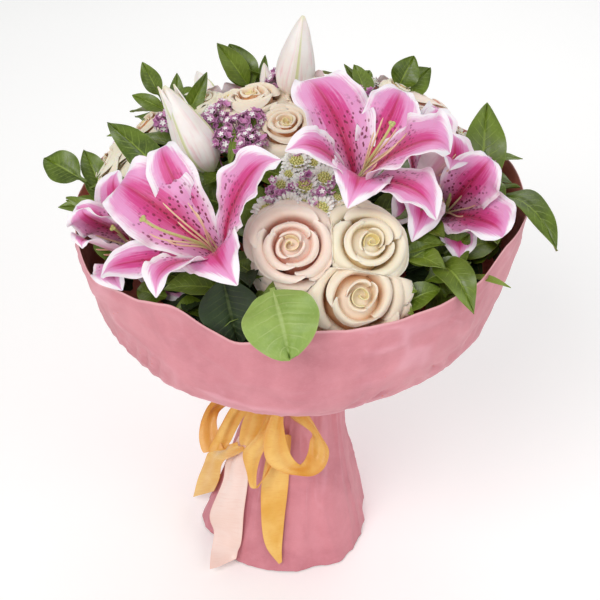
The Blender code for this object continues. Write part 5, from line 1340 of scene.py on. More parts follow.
def add_rose(made, centre, axis, r, seed, spin=0.0, near=(), lean=0.13, detail=0.5):
    """near: (centre, radius) of the roses beside it, whose petals press against these."""
    rng = np.random.default_rng(seed)
    x, y = frame_of(axis)
    drift = rng.uniform(0, 6.28)
    offset = (x * math.cos(drift) + y * math.sin(drift)) * r * lean

    def world(rho, phi, z, k=1.0):
        q = centre + (rho * np.cos(phi))[..., None] * x + (rho * np.sin(phi))[..., None] * y + z[..., None] * axis
        return q + offset * k

    def pressed(q):
        for other, size in near:
            way = other - centre
            gap = np.linalg.norm(way)
            way = way / gap
            limit = gap * r / (r + size) - 0.0006
            over = np.maximum((q - centre) @ way - limit, 0.0)
            q = q - way * (over * 0.92)[..., None] + axis * (over * 0.35)[..., None]
        # the paper holds the outer petals in
        radial = np.hypot(q[..., 0], q[..., 1])
        wall = RIM_RADIUS - (0.0065 if detail == 1.0 else 0.0120)
        over = np.where(q[..., 2] < 0.392, np.maximum(radial - wall, 0.0), 0.0)
        shrink = 1 - over / np.maximum(radial, 1e-6)
        q = q * np.stack([shrink, shrink, np.ones_like(shrink)], -1)
        q[..., 2] += over * 0.4
        return q

    # the crowded lower part of the petals, which closes the gaps between the upper ones
    made.turned(centre, axis, [(0, -0.80 * r), (0.42 * r, -0.62 * r), (0.60 * r, -0.28 * r), (0.60 * r, 0.00), (0.47 * r, 0.24 * r), (0.27 * r, 0.38 * r), (0, 0.41 * r)],
                30, 0.24, lambda h, a: 1 + 0.05 * np.cos(5 * a + 2) * np.cos(h / r * 4))
    # the tight middle: one sheet wound in a spiral
    ns, nh = int(84 * detail), int(4 + 8 * detail)
    s, h = np.meshgrid(np.linspace(0, 1, ns), np.linspace(0, 1, nh), indexing="ij")
    phi = spin + s * 1.35 * 2 * np.pi
    rho = r * (0.022 + 0.180 * s**0.90) * (0.86 + 0.14 * ease(0, 0.55, h)) + r * 0.022 * ease(0.84, 1.0, h) * s
    rho = rho * (1 + 0.10 * np.sin(phi * 1.5 + seed)) + 0.008 * r * np.sin(phi * 2.7 + seed)
    top = r * (0.600 + 0.030 * np.sin(phi * 1.35 + 1.0 + seed) - 0.030 * s)
    z = -0.30 * r + (top + 0.30 * r) * h
    made.sheet(np.swapaxes(world(rho, phi, z), 0, 1), 0.0005, 0.42 + 0.58 * h[0], np.linspace(-1, 1, ns), length=r * 1.2, width=r * 1.6, tone=0.0)
    turn = spin + 1.0
    for k, (count, neck, high, wide, roll) in enumerate(ROSE_LAYERS):
        turn += 2.4
        far = k / (len(ROSE_LAYERS) - 1)
        for j in range(count):
            phi0 = turn + j * 2 * np.pi / count + rng.uniform(-0.16, 0.16)
            w = math.radians(wide) * rng.uniform(0.94, 1.10)
            zr = r * (high + rng.uniform(-0.075, 0.060))
            rr = r * neck * rng.uniform(0.92, 1.10)
            ro = r * roll * rng.uniform(0.72, 1.28)
            nu, nv = int(4 + 18 * detail), int(3 + 16 * detail)
            uu, vv = np.meshgrid(np.linspace(0, 1, nu), np.linspace(-1, 1, nv), indexing="ij")
            knots = np.array((0.0, 0.20, 0.42, 0.60, 0.70, 0.80, 0.90, 1.0))
            prof_r = np.array((0.09 * r, rr * 0.62, rr * 0.96, rr * 0.99, rr + 0.10 * ro, rr + 0.45 * ro, rr + 0.92 * ro, rr + 1.12 * ro))
            prof_z = np.array((-0.82 * r, -0.60 * r + 0.2 * zr, zr - 0.50 * r, zr - 0.20 * r, zr - 0.06 * r, zr + 0.02 * ro, zr - 0.20 * ro, zr - 0.72 * ro))
            fine = np.linspace(0, 1, 121)
            fr, fz = smoothed(np.interp(fine, knots, prof_r), 7), smoothed(np.interp(fine, knots, prof_z), 7)
            # a rounded petal that comes to a slight point in the outer layers
            reach = uu * (1 - 0.20 * np.abs(vv) ** 2.6 - 0.02 * np.sin(3 * vv + seed + j)) + far * 0.10 * np.exp(-(vv / 0.26) ** 2) * uu
            rho = np.interp(reach, fine, fr) + np.maximum(reach - 1, 0) * 0.6 * r
            z = np.interp(reach, fine, fz) - np.maximum(reach - 1, 0) * 0.2 * r
            # one side of each petal lies under its neighbour
            rho = rho + 0.030 * r * vv * (0.25 + 0.75 * ease(0.1, 0.6, uu))
            soft = ease(0.55, 1.0, uu)
            rho = rho + soft * r * (0.020 + 0.018 * far) * np.sin(vv * 3.3 + phi0 * 2 + k)
            z = z + soft * r * (0.034 + 0.034 * far) * np.sin(vv * 2.9 + phi0 * 3)
            # petals are flatter than a circle, so the outline is a little angular
            rho = rho * (1 + (0.02 + 0.045 * far) * (vv**2 - 0.4) * ease(0.4, 0.9, uu))
            phi = phi0 + vv * w * (0.30 + 0.70 * ease(0.0, 0.45, uu))
            q = pressed(world(rho, phi, z, 1 - far))
            # the upper side faces in, so the grid runs from base to rim with the width turned round
            made.sheet(q[:, ::-1], 0.0006, np.linspace(0, 1, nu), None, length=r * 1.7, width=r * 0.9, tone=0.2 + 0.8 * far)


def add_hip(made, centre, axis, r, seed):
    """The green base of a rose and its five sepals."""
    rng = np.random.default_rng(seed)
    x, y = frame_of(axis)
    made.turned(centre - axis * (0.98 * r + 0.0104), axis,
                [(0, 0), (0.0034, 0.0002), (0.0038, 0.003), (0.0068, 0.007), (0.0088, 0.0115), (0.0078, 0.0150), (0, 0.0155)], 14, 0.3)
    for k in range(5):
        a = k * 2 * math.pi / 5 + rng.uniform(-0.2, 0.2)
        out = x * math.cos(a) + y * math.sin(a)
        base = centre - axis * (0.98 * r - 0.003) + out * 0.0055
        tip = centre - axis * r * rng.uniform(0.70, 0.95) + out * r * rng.uniform(0.75, 0.95)
        add_leaf(made, leaf(base, tip, 0.0075, -axis + out * 0.3, 0.10, 0.02), 9, 5, seed + k, serrate=0.0, ripple=0.3, tone=0.5)


# ================================================================ small flowers
def santini_look():
    """White rays (tone 0) round a green-yellow cushion (tone 1)."""
    look = Look("spray_chrysanthemum", rough=0.55, Sheen_Weight=0.2, Subsurface_Weight=0.08, Subsurface_Scale=0.002)
    u, side, tone = look.attr("place", 0), look.attr("place", 2), look.attr("tone", "value")
    where = look.new("TexCoord").outputs["Object"]
    grain = look.noise(where, 900.0, 3.0, 0.6)
    streak = look.noise(look.scaled(look.attr("place"), (2.0, 6.0, 1.0)), 1.0, 3.0)
    ray = look.mix(look.ease(u, 0.0, 0.45), (0.74, 0.75, 0.46), (0.94, 0.93, 0.89))
    ray = look.mix(look.ease(look.noise(where, 260.0, 2.0), 0.55, 0.75, 0.0, 0.5), ray, (0.72, 0.46, 0.58))
    ray = look.mix(look.ease(streak, 0.45, 0.75, 0.0, 0.4), ray, (0.78, 0.76, 0.70))
    heart = look.mix(look.ease(grain, 0.35, 0.65), (0.46, 0.48, 0.070), (0.76, 0.72, 0.22))
    heart = look.mix(look.ease(u, 0.35, 1.0, 0.0, 0.5), heart, (0.84, 0.80, 0.42))
    colour = look.mix(look.ease(tone, 0.4, 0.6), ray, heart)
    return look.done(colour, None, look.bump(look.math("ADD", grain, streak), 0.3, 0.0004))


def add_santini(made, centre, axis, r, seed, openness=1.0):
    rng = np.random.default_rng(seed)
    x, y = frame_of(axis)
    core = r * 0.50
    small = r < 0.0125
    rings = ((17, 1.0, 0.02, 0.28), (13, 0.80, 0.30, 0.26)) if small else ((21, 1.0, 0.02, 0.24), (19, 0.86, 0.24, 0.22), (15, 0.70, 0.44, 0.19))
    for ring, (count, reach, rise, width) in enumerate(rings):
        for k in range(count):
            a = (k + 0.5 * ring) * 2 * math.pi / count + rng.uniform(-0.09, 0.09)
            out = x * math.cos(a) + y * math.sin(a)
            across = -x * math.sin(a) + y * math.cos(a)
            length = r * reach * rng.uniform(0.9, 1.06)
            tip_z = r * (rise + rng.uniform(-0.06, 0.08)) * openness
            u = np.array((0.0, 0.3, 0.62, 0.88, 1.0))
            p = bez((centre + out * core * 0.5 - axis * r * 0.12, centre + out * (core * 0.5 + length * 0.3) + axis * (r * 0.02 + tip_z * 0.5),
                     centre + out * length * 0.82 + axis * (tip_z + 0.10 * r), centre + out * length + axis * tip_z), u)
            half = r * width / 2 * np.array((0.35, 0.75, 1.0, 0.80, 0.22))
            v = np.array((-1.0, 0.0, 1.0))
            q = p[:, None, :] + across * (half[:, None] * v)[..., None] + axis * (0.35 * half[:, None] * v**2)[..., None]
            made.sheet(q, 0.00035, u, v, tone=0.0)
    # the cushion: small buttons on a low dome
    golden = math.pi * (3 - math.sqrt(5))
    made.turned(centre - axis * r * 0.24, axis, [(0, 0), (core * 0.75, r * 0.02), (core, r * 0.20), (core * 0.8, r * 0.40), (core * 0.4, r * 0.50), (0, r * 0.52)], 12, 1.0)
    buttons = 22 if small else 34
    for k in range(buttons):
        rho = core * 0.98 * math.sqrt((k + 0.5) / buttons)
        a = k * golden
        place = centre + (x * math.cos(a) + y * math.sin(a)) * rho + axis * (r * 0.27 * (1 - 0.62 * (rho / core) ** 2))
        lean = unit(axis + (x * math.cos(a) + y * math.sin(a)) * rho / core * 0.7)
        b = r * (0.100 if small else 0.082)
        made.turned(place - lean * b, lean, [(0, 0), (b, b * 0.5), (b * 0.95, b * 1.5), (b * 0.45, b * 2.1), (0, b * 2.2)], 6, 1.0)


def statice_look():
    """Papery mauve calyces (tone 0), small white corollas (tone 1)."""
    look = Look("statice_papery", rough=0.75, Sheen_Weight=0.3)
    u, tone = look.attr("place", 0), look.attr("tone", "value")
    where = look.new("TexCoord").outputs["Object"]
    grain = look.noise(where, 700.0, 3.0, 0.6)
    patch = look.noise(where, 120.0, 2.0, 0.5)
    mauve = look.mix(look.ease(patch, 0.35, 0.65), (0.40, 0.105, 0.31), (0.64, 0.27, 0.50))
    mauve = look.mix(look.ease(u, 0.55, 1.0, 0.0, 0.5), mauve, (0.80, 0.42, 0.66))
    mauve = look.mix(look.ease(u, 0.30, 0.0, 0.0, 0.8), mauve, (0.20, 0.26, 0.08))
    white = look.mix(grain, (0.84, 0.78, 0.80), (0.94, 0.91, 0.90))
    colour = look.mix(look.ease(tone, 0.4, 0.6), mauve, white)
    return look.done(colour, None, look.bump(grain, 0.5, 0.0004))


def add_floret(made, centre, axis, r, seed, white):
    """A small papery funnel with five lobes."""
    rng = np.random.default_rng(seed)
    x, y = frame_of(axis)
    a = np.linspace(0, 2 * math.pi, 10, endpoint=False) + rng.uniform(0, 1)
    rows = ((0.14, -0.95), (0.34, -0.25), (0.82, 0.22), (1.0, 0.30))
    lobe = 1 + 0.16 * np.cos(5 * (a - a[0]))
    p = np.array([[centre + axis * r * h + (x * math.cos(t) + y * math.sin(t)) * r * rho * (1 if i < 2 else lobe[j])
                   + axis * r * (0.10 * math.cos(5 * (t - a[0])) if i > 1 else 0)
                   for j, t in enumerate(a)] for i, (rho, h) in enumerate(rows)])
    made.sheet(p[:, ::-1], 0.0003, np.linspace(0, 1, 4), np.linspace(-1, 1, 10), tone=0.0, ring=True)
    if white:
        for k in range(5):
            t = a[0] + k * 2 * math.pi / 5 + 0.6
            out = x * math.cos(t) + y * math.sin(t)
            across = np.cross(axis, out)
            u, v = np.array((0.0, 0.5, 1.0)), np.array((-1.0, 0.0, 1.0))
            q = (centre + axis * r * np.array((0.0, 0.42, 0.40))[:, None] + out * r * np.array((0.05, 0.34, 0.66))[:, None])[:, None, :] \
                + across * (r * np.array((0.08, 0.22, 0.16))[:, None] * v)[..., None]
            made.sheet(q, 0.00025, u, v, tone=1.0)


def add_cluster(made, stalks, centre, axis, r, count, seed, size=0.0038, whites=0.58):
    rng = np.random.default_rng(seed)
    x, y = frame_of(axis)
    golden = math.pi * (3 - math.sqrt(5))
    foot = centre - axis * r * 1.1
    for k in range(count):
        e = 1 - (k + 0.5) / count * 1.15
        rho = math.sqrt(max(1 - e * e, 0.0))
        a = k * golden + rng.uniform(-0.3, 0.3)
        way = unit(axis * max(e, 0.05) + (x * math.cos(a) + y * math.sin(a)) * rho)
        place = centre + way * r * rng.uniform(0.72, 1.0) * np.array((1, 1, 1))
        s = size * rng.uniform(0.75, 1.15)
        add_floret(made, place, unit(way + rng.uniform(-0.35, 0.35, 3)), s, seed * 31 + k, rng.random() < whites)
        stalks.tube([foot, foot + (place - foot) * 0.5 + axis * r * 0.1, place - way * s * 0.9], (0.0005, 0.0004, 0.0003), 4, 0.0)


# ================================================================ buds
def bud_look():
    look = Look("lily_bud_waxy", rough=0.42, Sheen_Weight=0.1, Subsurface_Weight=0.12, Subsurface_Scale=0.004)
    u, v = look.attr("place", 0), look.attr("place", 1)
    where = look.new("TexCoord").outputs["Object"]
    streak = look.noise(look.scaled(look.attr("place"), (2.2, 26.0, 1.0)), 1.0, 3.0, 0.6, 0.3)
    cloud = look.noise(where, 55.0, 3.0)
    colour = look.mix(look.ease(cloud, 0.35, 0.65), (0.89, 0.82, 0.78), (0.94, 0.895, 0.86))
    colour = look.mix(look.math("MULTIPLY", look.ease(streak, 0.46, 0.72), look.ease(u, 0.95, 0.30, 0.10, 0.65)), colour, (0.86, 0.52, 0.56))
    colour = look.mix(look.ease(u, 0.18, 0.02, 0.0, 0.65), colour, (0.56, 0.62, 0.28))
    groove = look.math("COSINE", look.math("MULTIPLY", v, 18.8496))
    colour = look.mix(look.math("MULTIPLY", look.ease(groove, 0.80, 0.99), look.ease(u, 1.0, 0.6, 0.30, 0.80)), colour, (0.60, 0.64, 0.26))
    colour = look.mix(look.ease(u, 0.93, 1.0, 0.0, 0.5), colour, (0.72, 0.70, 0.38))
    return look.done(colour, None, look.bump(streak, 0.35, 0.0006))


def add_bud(made, base, tip, width, seed, split=0.0):
    axis = unit(tip - base)
    length = float(np.linalg.norm(tip - base))
    h = np.linspace(0, 1, 30)
    rows = np.interp(h, (0, 0.03, 0.14, 0.28, 0.42, 0.58, 0.73, 0.87, 1.0), (0.10, 0.18, 0.42, 0.505, 0.480, 0.390, 0.285, 0.175, 0.04))
    rows = smoothed(rows, 2)
    rows = [(0, -0.02 * length)] + [(max(r, 0.004) * width, t * length) for r, t in zip(rows, h)] + [(0, 1.002 * length)]

    def bump(height, a):
        t = height / length
        lobes = 0.055 * np.cos(3 * (a + seed)) * ease(0.0, 0.4, t) + 0.10 * np.cos(3 * (a + seed)) * ease(0.65, 1.0, t)
        seam = -0.075 * np.exp(-((np.mod(a + seed + np.pi / 3, 2 * np.pi / 3) - np.pi / 3) / 0.085) ** 2) * ease(0.05, 0.3, t)
        return 1 + lobes + seam * 0.9 + 0.02 * np.cos(6 * a)

    made.turned(base, axis, rows, 42, 0.0, bump)
    if split:
        x, y = frame_of(axis)
        for k in range(2):
            a = -seed + math.pi / 3 + k * math.pi
            out = x * math.cos(a) + y * math.sin(a)
            start = base + axis * length * 0.60 + out * width * 0.29
            end = base + axis * length * (1.03 - 0.07 * k) + out * width * split * (0.8 + 0.5 * k)
            across = np.cross(axis, out)
            u, v = np.linspace(0, 1, 16), np.linspace(-1, 1, 9)
            p = bez((start, start + axis * length * 0.16 + out * width * 0.03, end - axis * length * 0.12 + out * width * 0.02, end), u)
            half = width * 0.20 * (1 - u**1.6 * 0.90) * ease(-0.1, 0.25, u)
            q = p[:, None, :] + across * (half[:, None] * v)[..., None] - out * (half[:, None] * 0.55 * v**2)[..., None]
            made.sheet(q, 0.0007, 0.6 + 0.4 * u, v * 0.16 + 0.3, tone=0.0)


# ================================================================ leaves and stems
def leaf_look(name, dark, mid, light, under, gloss=0.34, veins=11.0):
    look = Look(name, rough=gloss, Specular_IOR_Level=0.5)
    u, v, side = look.attr("place", 0), look.attr("place", 1), look.attr("place", 2)
    cloth, tone = look.attr("cloth"), look.attr("tone", "value")
    a = look.math("ABSOLUTE", v)
    # side veins leave the midrib at a slant and fade towards the edge
    slant = look.math("MULTIPLY", look.math("SUBTRACT", u, look.math("MULTIPLY", a, 0.16)), veins * 6.2832)
    bend = look.math("MULTIPLY", look.noise(cloth, 60.0, 2.0), 2.4)
    line = look.math("COSINE", look.math("ADD", slant, bend))
    vein = look.math("MULTIPLY", look.ease(line, 0.86, 1.0), look.ease(a, 0.95, 0.35), clamp=True)
    rib = look.ease(a, 0.085, 0.025)
    net = look.noise(cloth, 420.0, 4.0, 0.65)
    cloud = look.noise(cloth, 45.0, 3.0)
    colour = look.mix(look.ease(cloud, 0.32, 0.70), dark, mid)
    colour = look.mix(look.ease(tone, 0.0, 1.0, 0.0, 0.85), colour, light)
    colour = look.mix(look.ease(net, 0.48, 0.78, 0.0, 0.30), colour, light)
    colour = look.mix(look.math("MULTIPLY", vein, 0.38), colour, light)
    colour = look.mix(look.math("MULTIPLY", rib, look.ease(u, 1.0, 0.4, 0.25, 0.70)), colour, light)
    colour = look.mix(look.ease(a, 0.955, 0.995, 0.0, 0.30), colour, light)
    back = look.mix(look.math("MULTIPLY", rib, 0.7), look.mix(look.ease(cloud, 0.3, 0.7), under, mid), light)
    colour = look.mix(look.ease(side, 0.1, -0.1), colour, back)
    height = look.math("SUBTRACT", look.math("MULTIPLY", net, 0.55), look.math("MULTIPLY", vein, 0.7))
    height = look.math("SUBTRACT", height, look.math("MULTIPLY", rib, 0.8))
    rough = look.ease(net, 0.3, 0.8, gloss - 0.06, gloss + 0.14)
    return look.done(colour, rough, look.bump(height, 0.5, 0.0005))


def add_leaf(made, spec, nu=22, nv=11, seed=1, serrate=0.0, ripple=1.0, tone=0.0, fold=0.22, thick=0.0005, blunt=False):
    u, v = np.linspace(0, 1, nu), np.linspace(-1, 1, nv)
    p = bez(spec["curve"], u)
    slope = bez_slope(spec["curve"], u)
    n = units(np.cross(spec["side"], slope))
    length = float(np.sum(np.linalg.norm(np.diff(p, axis=0), axis=1)))
    half = spec["width"] / 2 * np.array([leaf_width(k, spec["petiole"]) for k in u])
    if blunt:
        k = np.clip((u - spec["petiole"]) / (1 - spec["petiole"]), 0, 1)
        half = spec["width"] / 2 * np.maximum(0.96 * np.sin(np.pi * k**0.90) ** 0.58, 0.07 * (1 - k))
    vv, uu = np.meshgrid(v, u)
    a, b = (seed * 2.399) % 6.28, (seed * 1.7) % 6.28
    blade = ease(spec["petiole"], spec["petiole"] + 0.15, uu)
    off = fold * np.abs(vv) * half[:, None]
    off += ripple * blade * spec["width"] * (0.045 * np.abs(vv) ** 2 * np.where(vv < 0, np.sin(uu * 15 + a), np.sin(uu * 13 + b))
                                             + 0.020 * (noise(np.stack([uu * 4, vv * 2, np.full_like(uu, seed % 37)], -1), 1.0, 9) - 0.5))
    off += -0.05 * spec["width"] * blade * np.exp(-(vv / 0.12) ** 2)
    off += 0.010 * spec["width"] * blade * np.cos(2 * np.pi * (uu * 11 - np.abs(vv) * 1.8)) * (1 - np.abs(vv))
    across = half[:, None] * vv * (1 + serrate * np.abs(vv) * np.sin(uu * length * 1500))
    sway = 0.02 * length * np.sin(np.pi * uu) * math.sin(a * 3)
    q = p[:, None, :] + spec["side"] * (across + sway)[..., None] + n[:, None, :] * off[..., None]
    # the grid's upper side is the leaf's face
    made.sheet(q[:, ::-1], thick, u, v, length=length, width=spec["width"] / 2, tone=tone)


def stem_look():
    look = Look("stem_skin", rough=0.45)
    u, v = look.attr("cloth", 0), look.attr("cloth", 1)
    cloth, tone = look.attr("cloth"), look.attr("tone", "value")
    line = look.noise(look.scaled(cloth, (14.0, 900.0, 1.0)), 1.0, 3.0, 0.6)
    cloud = look.noise(cloth, 30.0, 3.0)
    colour = look.mix(look.ease(cloud, 0.3, 0.7), (0.10, 0.20, 0.035), (0.20, 0.33, 0.075))
    colour = look.mix(look.ease(line, 0.45, 0.75, 0.0, 0.5), colour, (0.30, 0.42, 0.14))
    colour = look.mix(look.ease(u, 0.0045, 0.0010, 0.0, 0.85), colour, (0.62, 0.64, 0.38))
    colour = look.mix(look.ease(tone, 0.0, 1.0, 0.0, 0.6), colour, (0.42, 0.50, 0.20))
    return look.done(colour, None, look.bump(line, 0.4, 0.0004))


def add_stem(made, route, radius, sides=9, nodes=0, seed=0):
    pts = rounded(route, 4)
    pts[0, 2] = 0.0
    run = np.linspace(0, 1, len(pts))
    r = np.full(len(pts), radius) * (1 + 0.05 * np.sin(run * 23 + seed))
    for k in range(nodes):
        r = r * (1 + 0.16 * np.exp(-((run - 0.25 - 0.6 * k / max(nodes, 1)) / 0.012) ** 2))
    made.tube(pts, r * (1 - 0.12 * run), sides, 0.0)


def make_stems():
    look = stem_look()
    lilies = {"stem_lily_left": [lily_base("lily_a"), lily_base("lily_c"), bud_base("lily_bud_left")],
              "stem_lily_right": [lily_base("lily_b"), lily_base("lily_d"), lily_base("lily_e")],
              "stem_lily_back": [lily_base("lily_g"), lily_base("lily_f"), bud_base("lily_bud_top"), bud_base("lily_bud_back")]}
    roses = {"stem_" + name: [rose_base(name)] for name in ROSES}
    sprays = {"stem_chrysanthemum_front": [spray_base(SANTINI_FRONT)], "stem_chrysanthemum_back": [spray_base(SANTINI_BACK)],
              "stem_statice_left": [spray_base(STATICE_LEFT)], "stem_statice_back": [spray_base(STATICE_BACK)]}
    heads = {**lilies, **roses, **sprays}
    for ring, spread, places in STEM_RINGS:
        for i, (name, place) in enumerate(places.items()):
            thick = LILY_STEM if name in lilies else ROSE_STEM if name in roses else SPRAY_STEM
            head, axis = heads[name][0]
            route = stem_route(head, axis, ring, place, spread)
            made = Build()
            add_stem(made, route, thick / 2, 10 if name in lilies else 8, 0 if name in sprays else 4, i)
            for k, (other, way) in enumerate(heads[name][1:]):
                start = route[5 + k % 2]
                reach = np.linalg.norm(other - start)
                curve = (start, start + (route[7] - route[5]) * 0.8, other - way * reach * 0.4, other)
                t = np.linspace(0, 1, 22)
                p = bez(curve, t)
                made.tube(p, thick * 0.34 * (1 - 0.1 * t), 8)
            made.make(name + "_skin", look, (name,), "stem_green", sharp=60)


make_stems()
LEAF_DARK = leaf_look("leaf_glossy_dark", (0.050, 0.084, 0.005), (0.112, 0.175, 0.008), (0.310, 0.420, 0.062), (0.190, 0.245, 0.060), 0.34)
LEAF_ROUND = leaf_look("leaf_soft_pale", (0.220, 0.335, 0.062), (0.290, 0.410, 0.088), (0.430, 0.540, 0.190), (0.360, 0.450, 0.210), 0.48, 7.0)
LEAF_SHADE = leaf_look("leaf_in_shade", (0.007, 0.016, 0.004), (0.016, 0.038, 0.006), (0.060, 0.090, 0.018), (0.030, 0.050, 0.015), 0.62)


def make_twigs():
    for i, name in enumerate(TWIGS):
        made = Build()
        route = twig_route(name)
        add_stem(made, route, TWIG / 2, 6, 0, i)
        for k in range(len(TWIGS[name][1])):
            add_leaf(made, twig_leaf(name, k), 26, 13, 40 * i + 7 * k + 3, tone=0.15 * ((i + k) % 3))
        made.make(name + "_leafy", LEAF_DARK, (name,), "leaf_green", sharp=80)


def make_leaves():
    make_twigs()
    for i, (name, spec) in enumerate(SINGLE_LEAVES.items()):
        made = Build()
        pale = name == "leaf_round_front"
        add_leaf(made, spec, 40, 21, 300 + i, ripple=0.8 if pale else 1.0, fold=0.06 if pale else 0.20, tone=0.0, blunt=pale)
        look = LEAF_ROUND if pale else LEAF_SHADE if name == "leaf_lily_front" else LEAF_DARK
        made.make(name + "_blade", look, (name,), "leaf_pale" if pale else "leaf_green", sharp=80)


make_leaves()


def seen(bx, by, size):
    """A point on the dome, scaled by size, that the front view shows at this place of the board."""
    return on_dome(bx, by, size)


def rose_size(name):
    """The radius that the petals of a rose are drawn at."""
    return ROSES[name][1] * {"rose_blush_front": 1.06, "rose_cream_front": 1.12, "rose_cream_low": 1.20}.get(name, 1.08)


def inside_rose(p, share):
    return any(np.linalg.norm(p - ROSES[name][0]) < rose_size(name) * share for name in ROSES)


def inside_lily(p):
    for throat, axis in (lily_tepals(name)[:2] for name in LILIES):
        rise = float(np.dot(p - throat, axis))
        if -0.004 < rise < 0.080 and np.linalg.norm(p - throat - axis * rise) < 0.022 + 0.5 * rise:
            return True
    return False


def make_bed():
    """Dark leaves that fill the bowl under the flower heads; the lower layer takes the near-black shade look, painted
    shade in the gaps between the heads.
    """
    rng = np.random.default_rng(77)
    golden = math.pi * (3 - math.sqrt(5))
    for layer, (count, depth, look, piece) in enumerate(((230, 0.066, LEAF_SHADE, "foliage_bed_low"), (210, 0.046, LEAF_DARK, "foliage_bed_high"))):
        made = Build()
        for k in range(count):
            rho = 0.176 * math.sqrt((k + 0.5) / count)
            a = k * golden + layer
            z = DOME_CENTRE[2] + DOME[2] * math.sqrt(max(1 - (rho / 0.190) ** 2, 0.0)) - depth * (1 - 0.25 * (rho / 0.18) ** 2)
            out = np.array((math.cos(a), math.sin(a), 0.0))
            base = out * rho + np.array((0, 0, z + rng.uniform(-0.007, 0.007)))
            turn = a + rng.uniform(-1.9, 1.9)
            way = np.array((math.cos(turn), math.sin(turn), rng.uniform(0.05, 0.45)))
            length = rng.uniform(0.042, 0.062)
            tip = base + unit(way) * length
            reach = math.hypot(tip[0], tip[1])
            if reach > 0.181:
                tip[:2] *= 0.181 / reach
            face = np.array((0, 0, 1.0)) + out * 0.3 + rng.uniform(-0.3, 0.3, 3)
            wide, bow, shine = rng.uniform(0.020, 0.029), rng.uniform(0.06, 0.16), rng.uniform(0, 0.35)
            if any(inside_rose(base + (tip - base) * share, 0.90) for share in (0.0, 0.35, 0.7, 1.0)):
                continue
            if layer and any(np.linalg.norm((base + tip) / 2 - (throat + axis * 0.012)) < 0.036
                             for throat, axis in (lily_tepals(name)[:2] for name in LILIES)):
                continue
            add_leaf(made, leaf(base, tip, wide, face, bow, 0.08), 9, 5, 900 + k, tone=shine)
        made.make(piece, look, (), "leaf_green", sharp=80)


# leaves among the flowers: base and tip on the board with their size on the dome, width, face, bow, tone
AMONG = (
    ((331, 191, 0.99), (368, 180, 1.05), 0.0150, (0.0, -0.8, 0.6), 0.10, 0.0),
    ((334, 224, 0.97), (347, 203, 1.02), 0.0085, (-0.3, -0.8, 0.5), 0.05, 0.2),
    ((229, 168, 0.97), (234, 129, 1.03), 0.0065, (0.0, -0.9, 0.3), 0.05, 0.4),
    ((305, 101, 0.96), (279, 80, 1.02), 0.0090, (0.0, -0.8, 0.6), 0.08, 0.1),
    ((392, 296, 0.93), (414, 316, 1.00), 0.0090, (0.1, -0.7, 0.7), 0.08, 0.5),
    ((396, 286, 0.93), (417, 292, 1.00), 0.0090, (0.1, -0.7, 0.7), 0.10, 0.4),
    ((488, 209, 0.98), (500, 180, 1.06), 0.0200, (-0.2, -0.8, 0.6), 0.06, 0.0),
    ((104, 207, 0.95), (86, 170, 1.04), 0.0150, (0.2, -0.8, 0.6), 0.06, 0.1),
    ((247, 132, 0.97), (258, 112, 1.03), 0.0060, (0.0, -0.8, 0.6), 0.06, 0.3),
    ((196, 132, 0.95), (205, 155, 1.00), 0.0120, (0.0, -0.8, 0.6), 0.06, 0.0),
    ((405, 262, 0.92), (432, 246, 0.98), 0.0200, (0.0, -0.8, 0.6), 0.08, 0.1),
    ((258, 276, 0.92), (236, 262, 0.96), 0.0180, (0.0, -0.8, 0.6), 0.08, 0.0),
)


def make_among():
    made = Build()
    for k, (base, tip, width, face, bow, tone) in enumerate(AMONG):
        add_leaf(made, leaf(seen(*base), seen(*tip), width, face, bow, 0.08), 20, 9, 1500 + k, tone=tone)
    # a narrow blade that reaches out over the paper at the right
    add_leaf(made, leaf(at_y(468, 277, -0.118), at_y(511, 288, -0.142), 0.0060, (0.0, -0.5, 0.9), 0.10, 0.05), 22, 7, 1560, tone=0.6)
    # and more of them round the sides and the back
    rng = np.random.default_rng(15)
    for k in range(34):
        az = -35 + k * 250 / 33 + rng.uniform(-4, 4)
        el = rng.choice((8, 20, 34, 50)) + rng.uniform(-4, 4)
        base = dome_at(az, el, 0.88)
        tip = dome_at(az + rng.uniform(-14, 14), el + rng.uniform(-6, 14), rng.uniform(1.03, 1.12))
        reach = math.hypot(tip[0], tip[1])
        if reach > 0.188 and tip[2] < 0.392:
            tip[2] = 0.392
        if any(inside_rose(base + (tip - base) * share, 1.0) or inside_lily(base + (tip - base) * share) for share in (0.3, 0.65, 1.0)):
            continue
        add_leaf(made, leaf(base, tip, rng.uniform(0.014, 0.024), (0, 0, 1), rng.uniform(0.05, 0.14), 0.10), 16, 7, 1600 + k, tone=rng.uniform(0, 0.6))
    made.make("leaves_among_flowers", LEAF_DARK, (), "leaf_green", sharp=80)


def beside(name):
    """The roses whose petals press on this one's."""
    centre, r, _ = ROSES[name]
    return [(c, rose_size(other)) for other, (c, s, _) in ROSES.items() if other != name and np.linalg.norm(c - centre) < 1.6 * (r + s)]


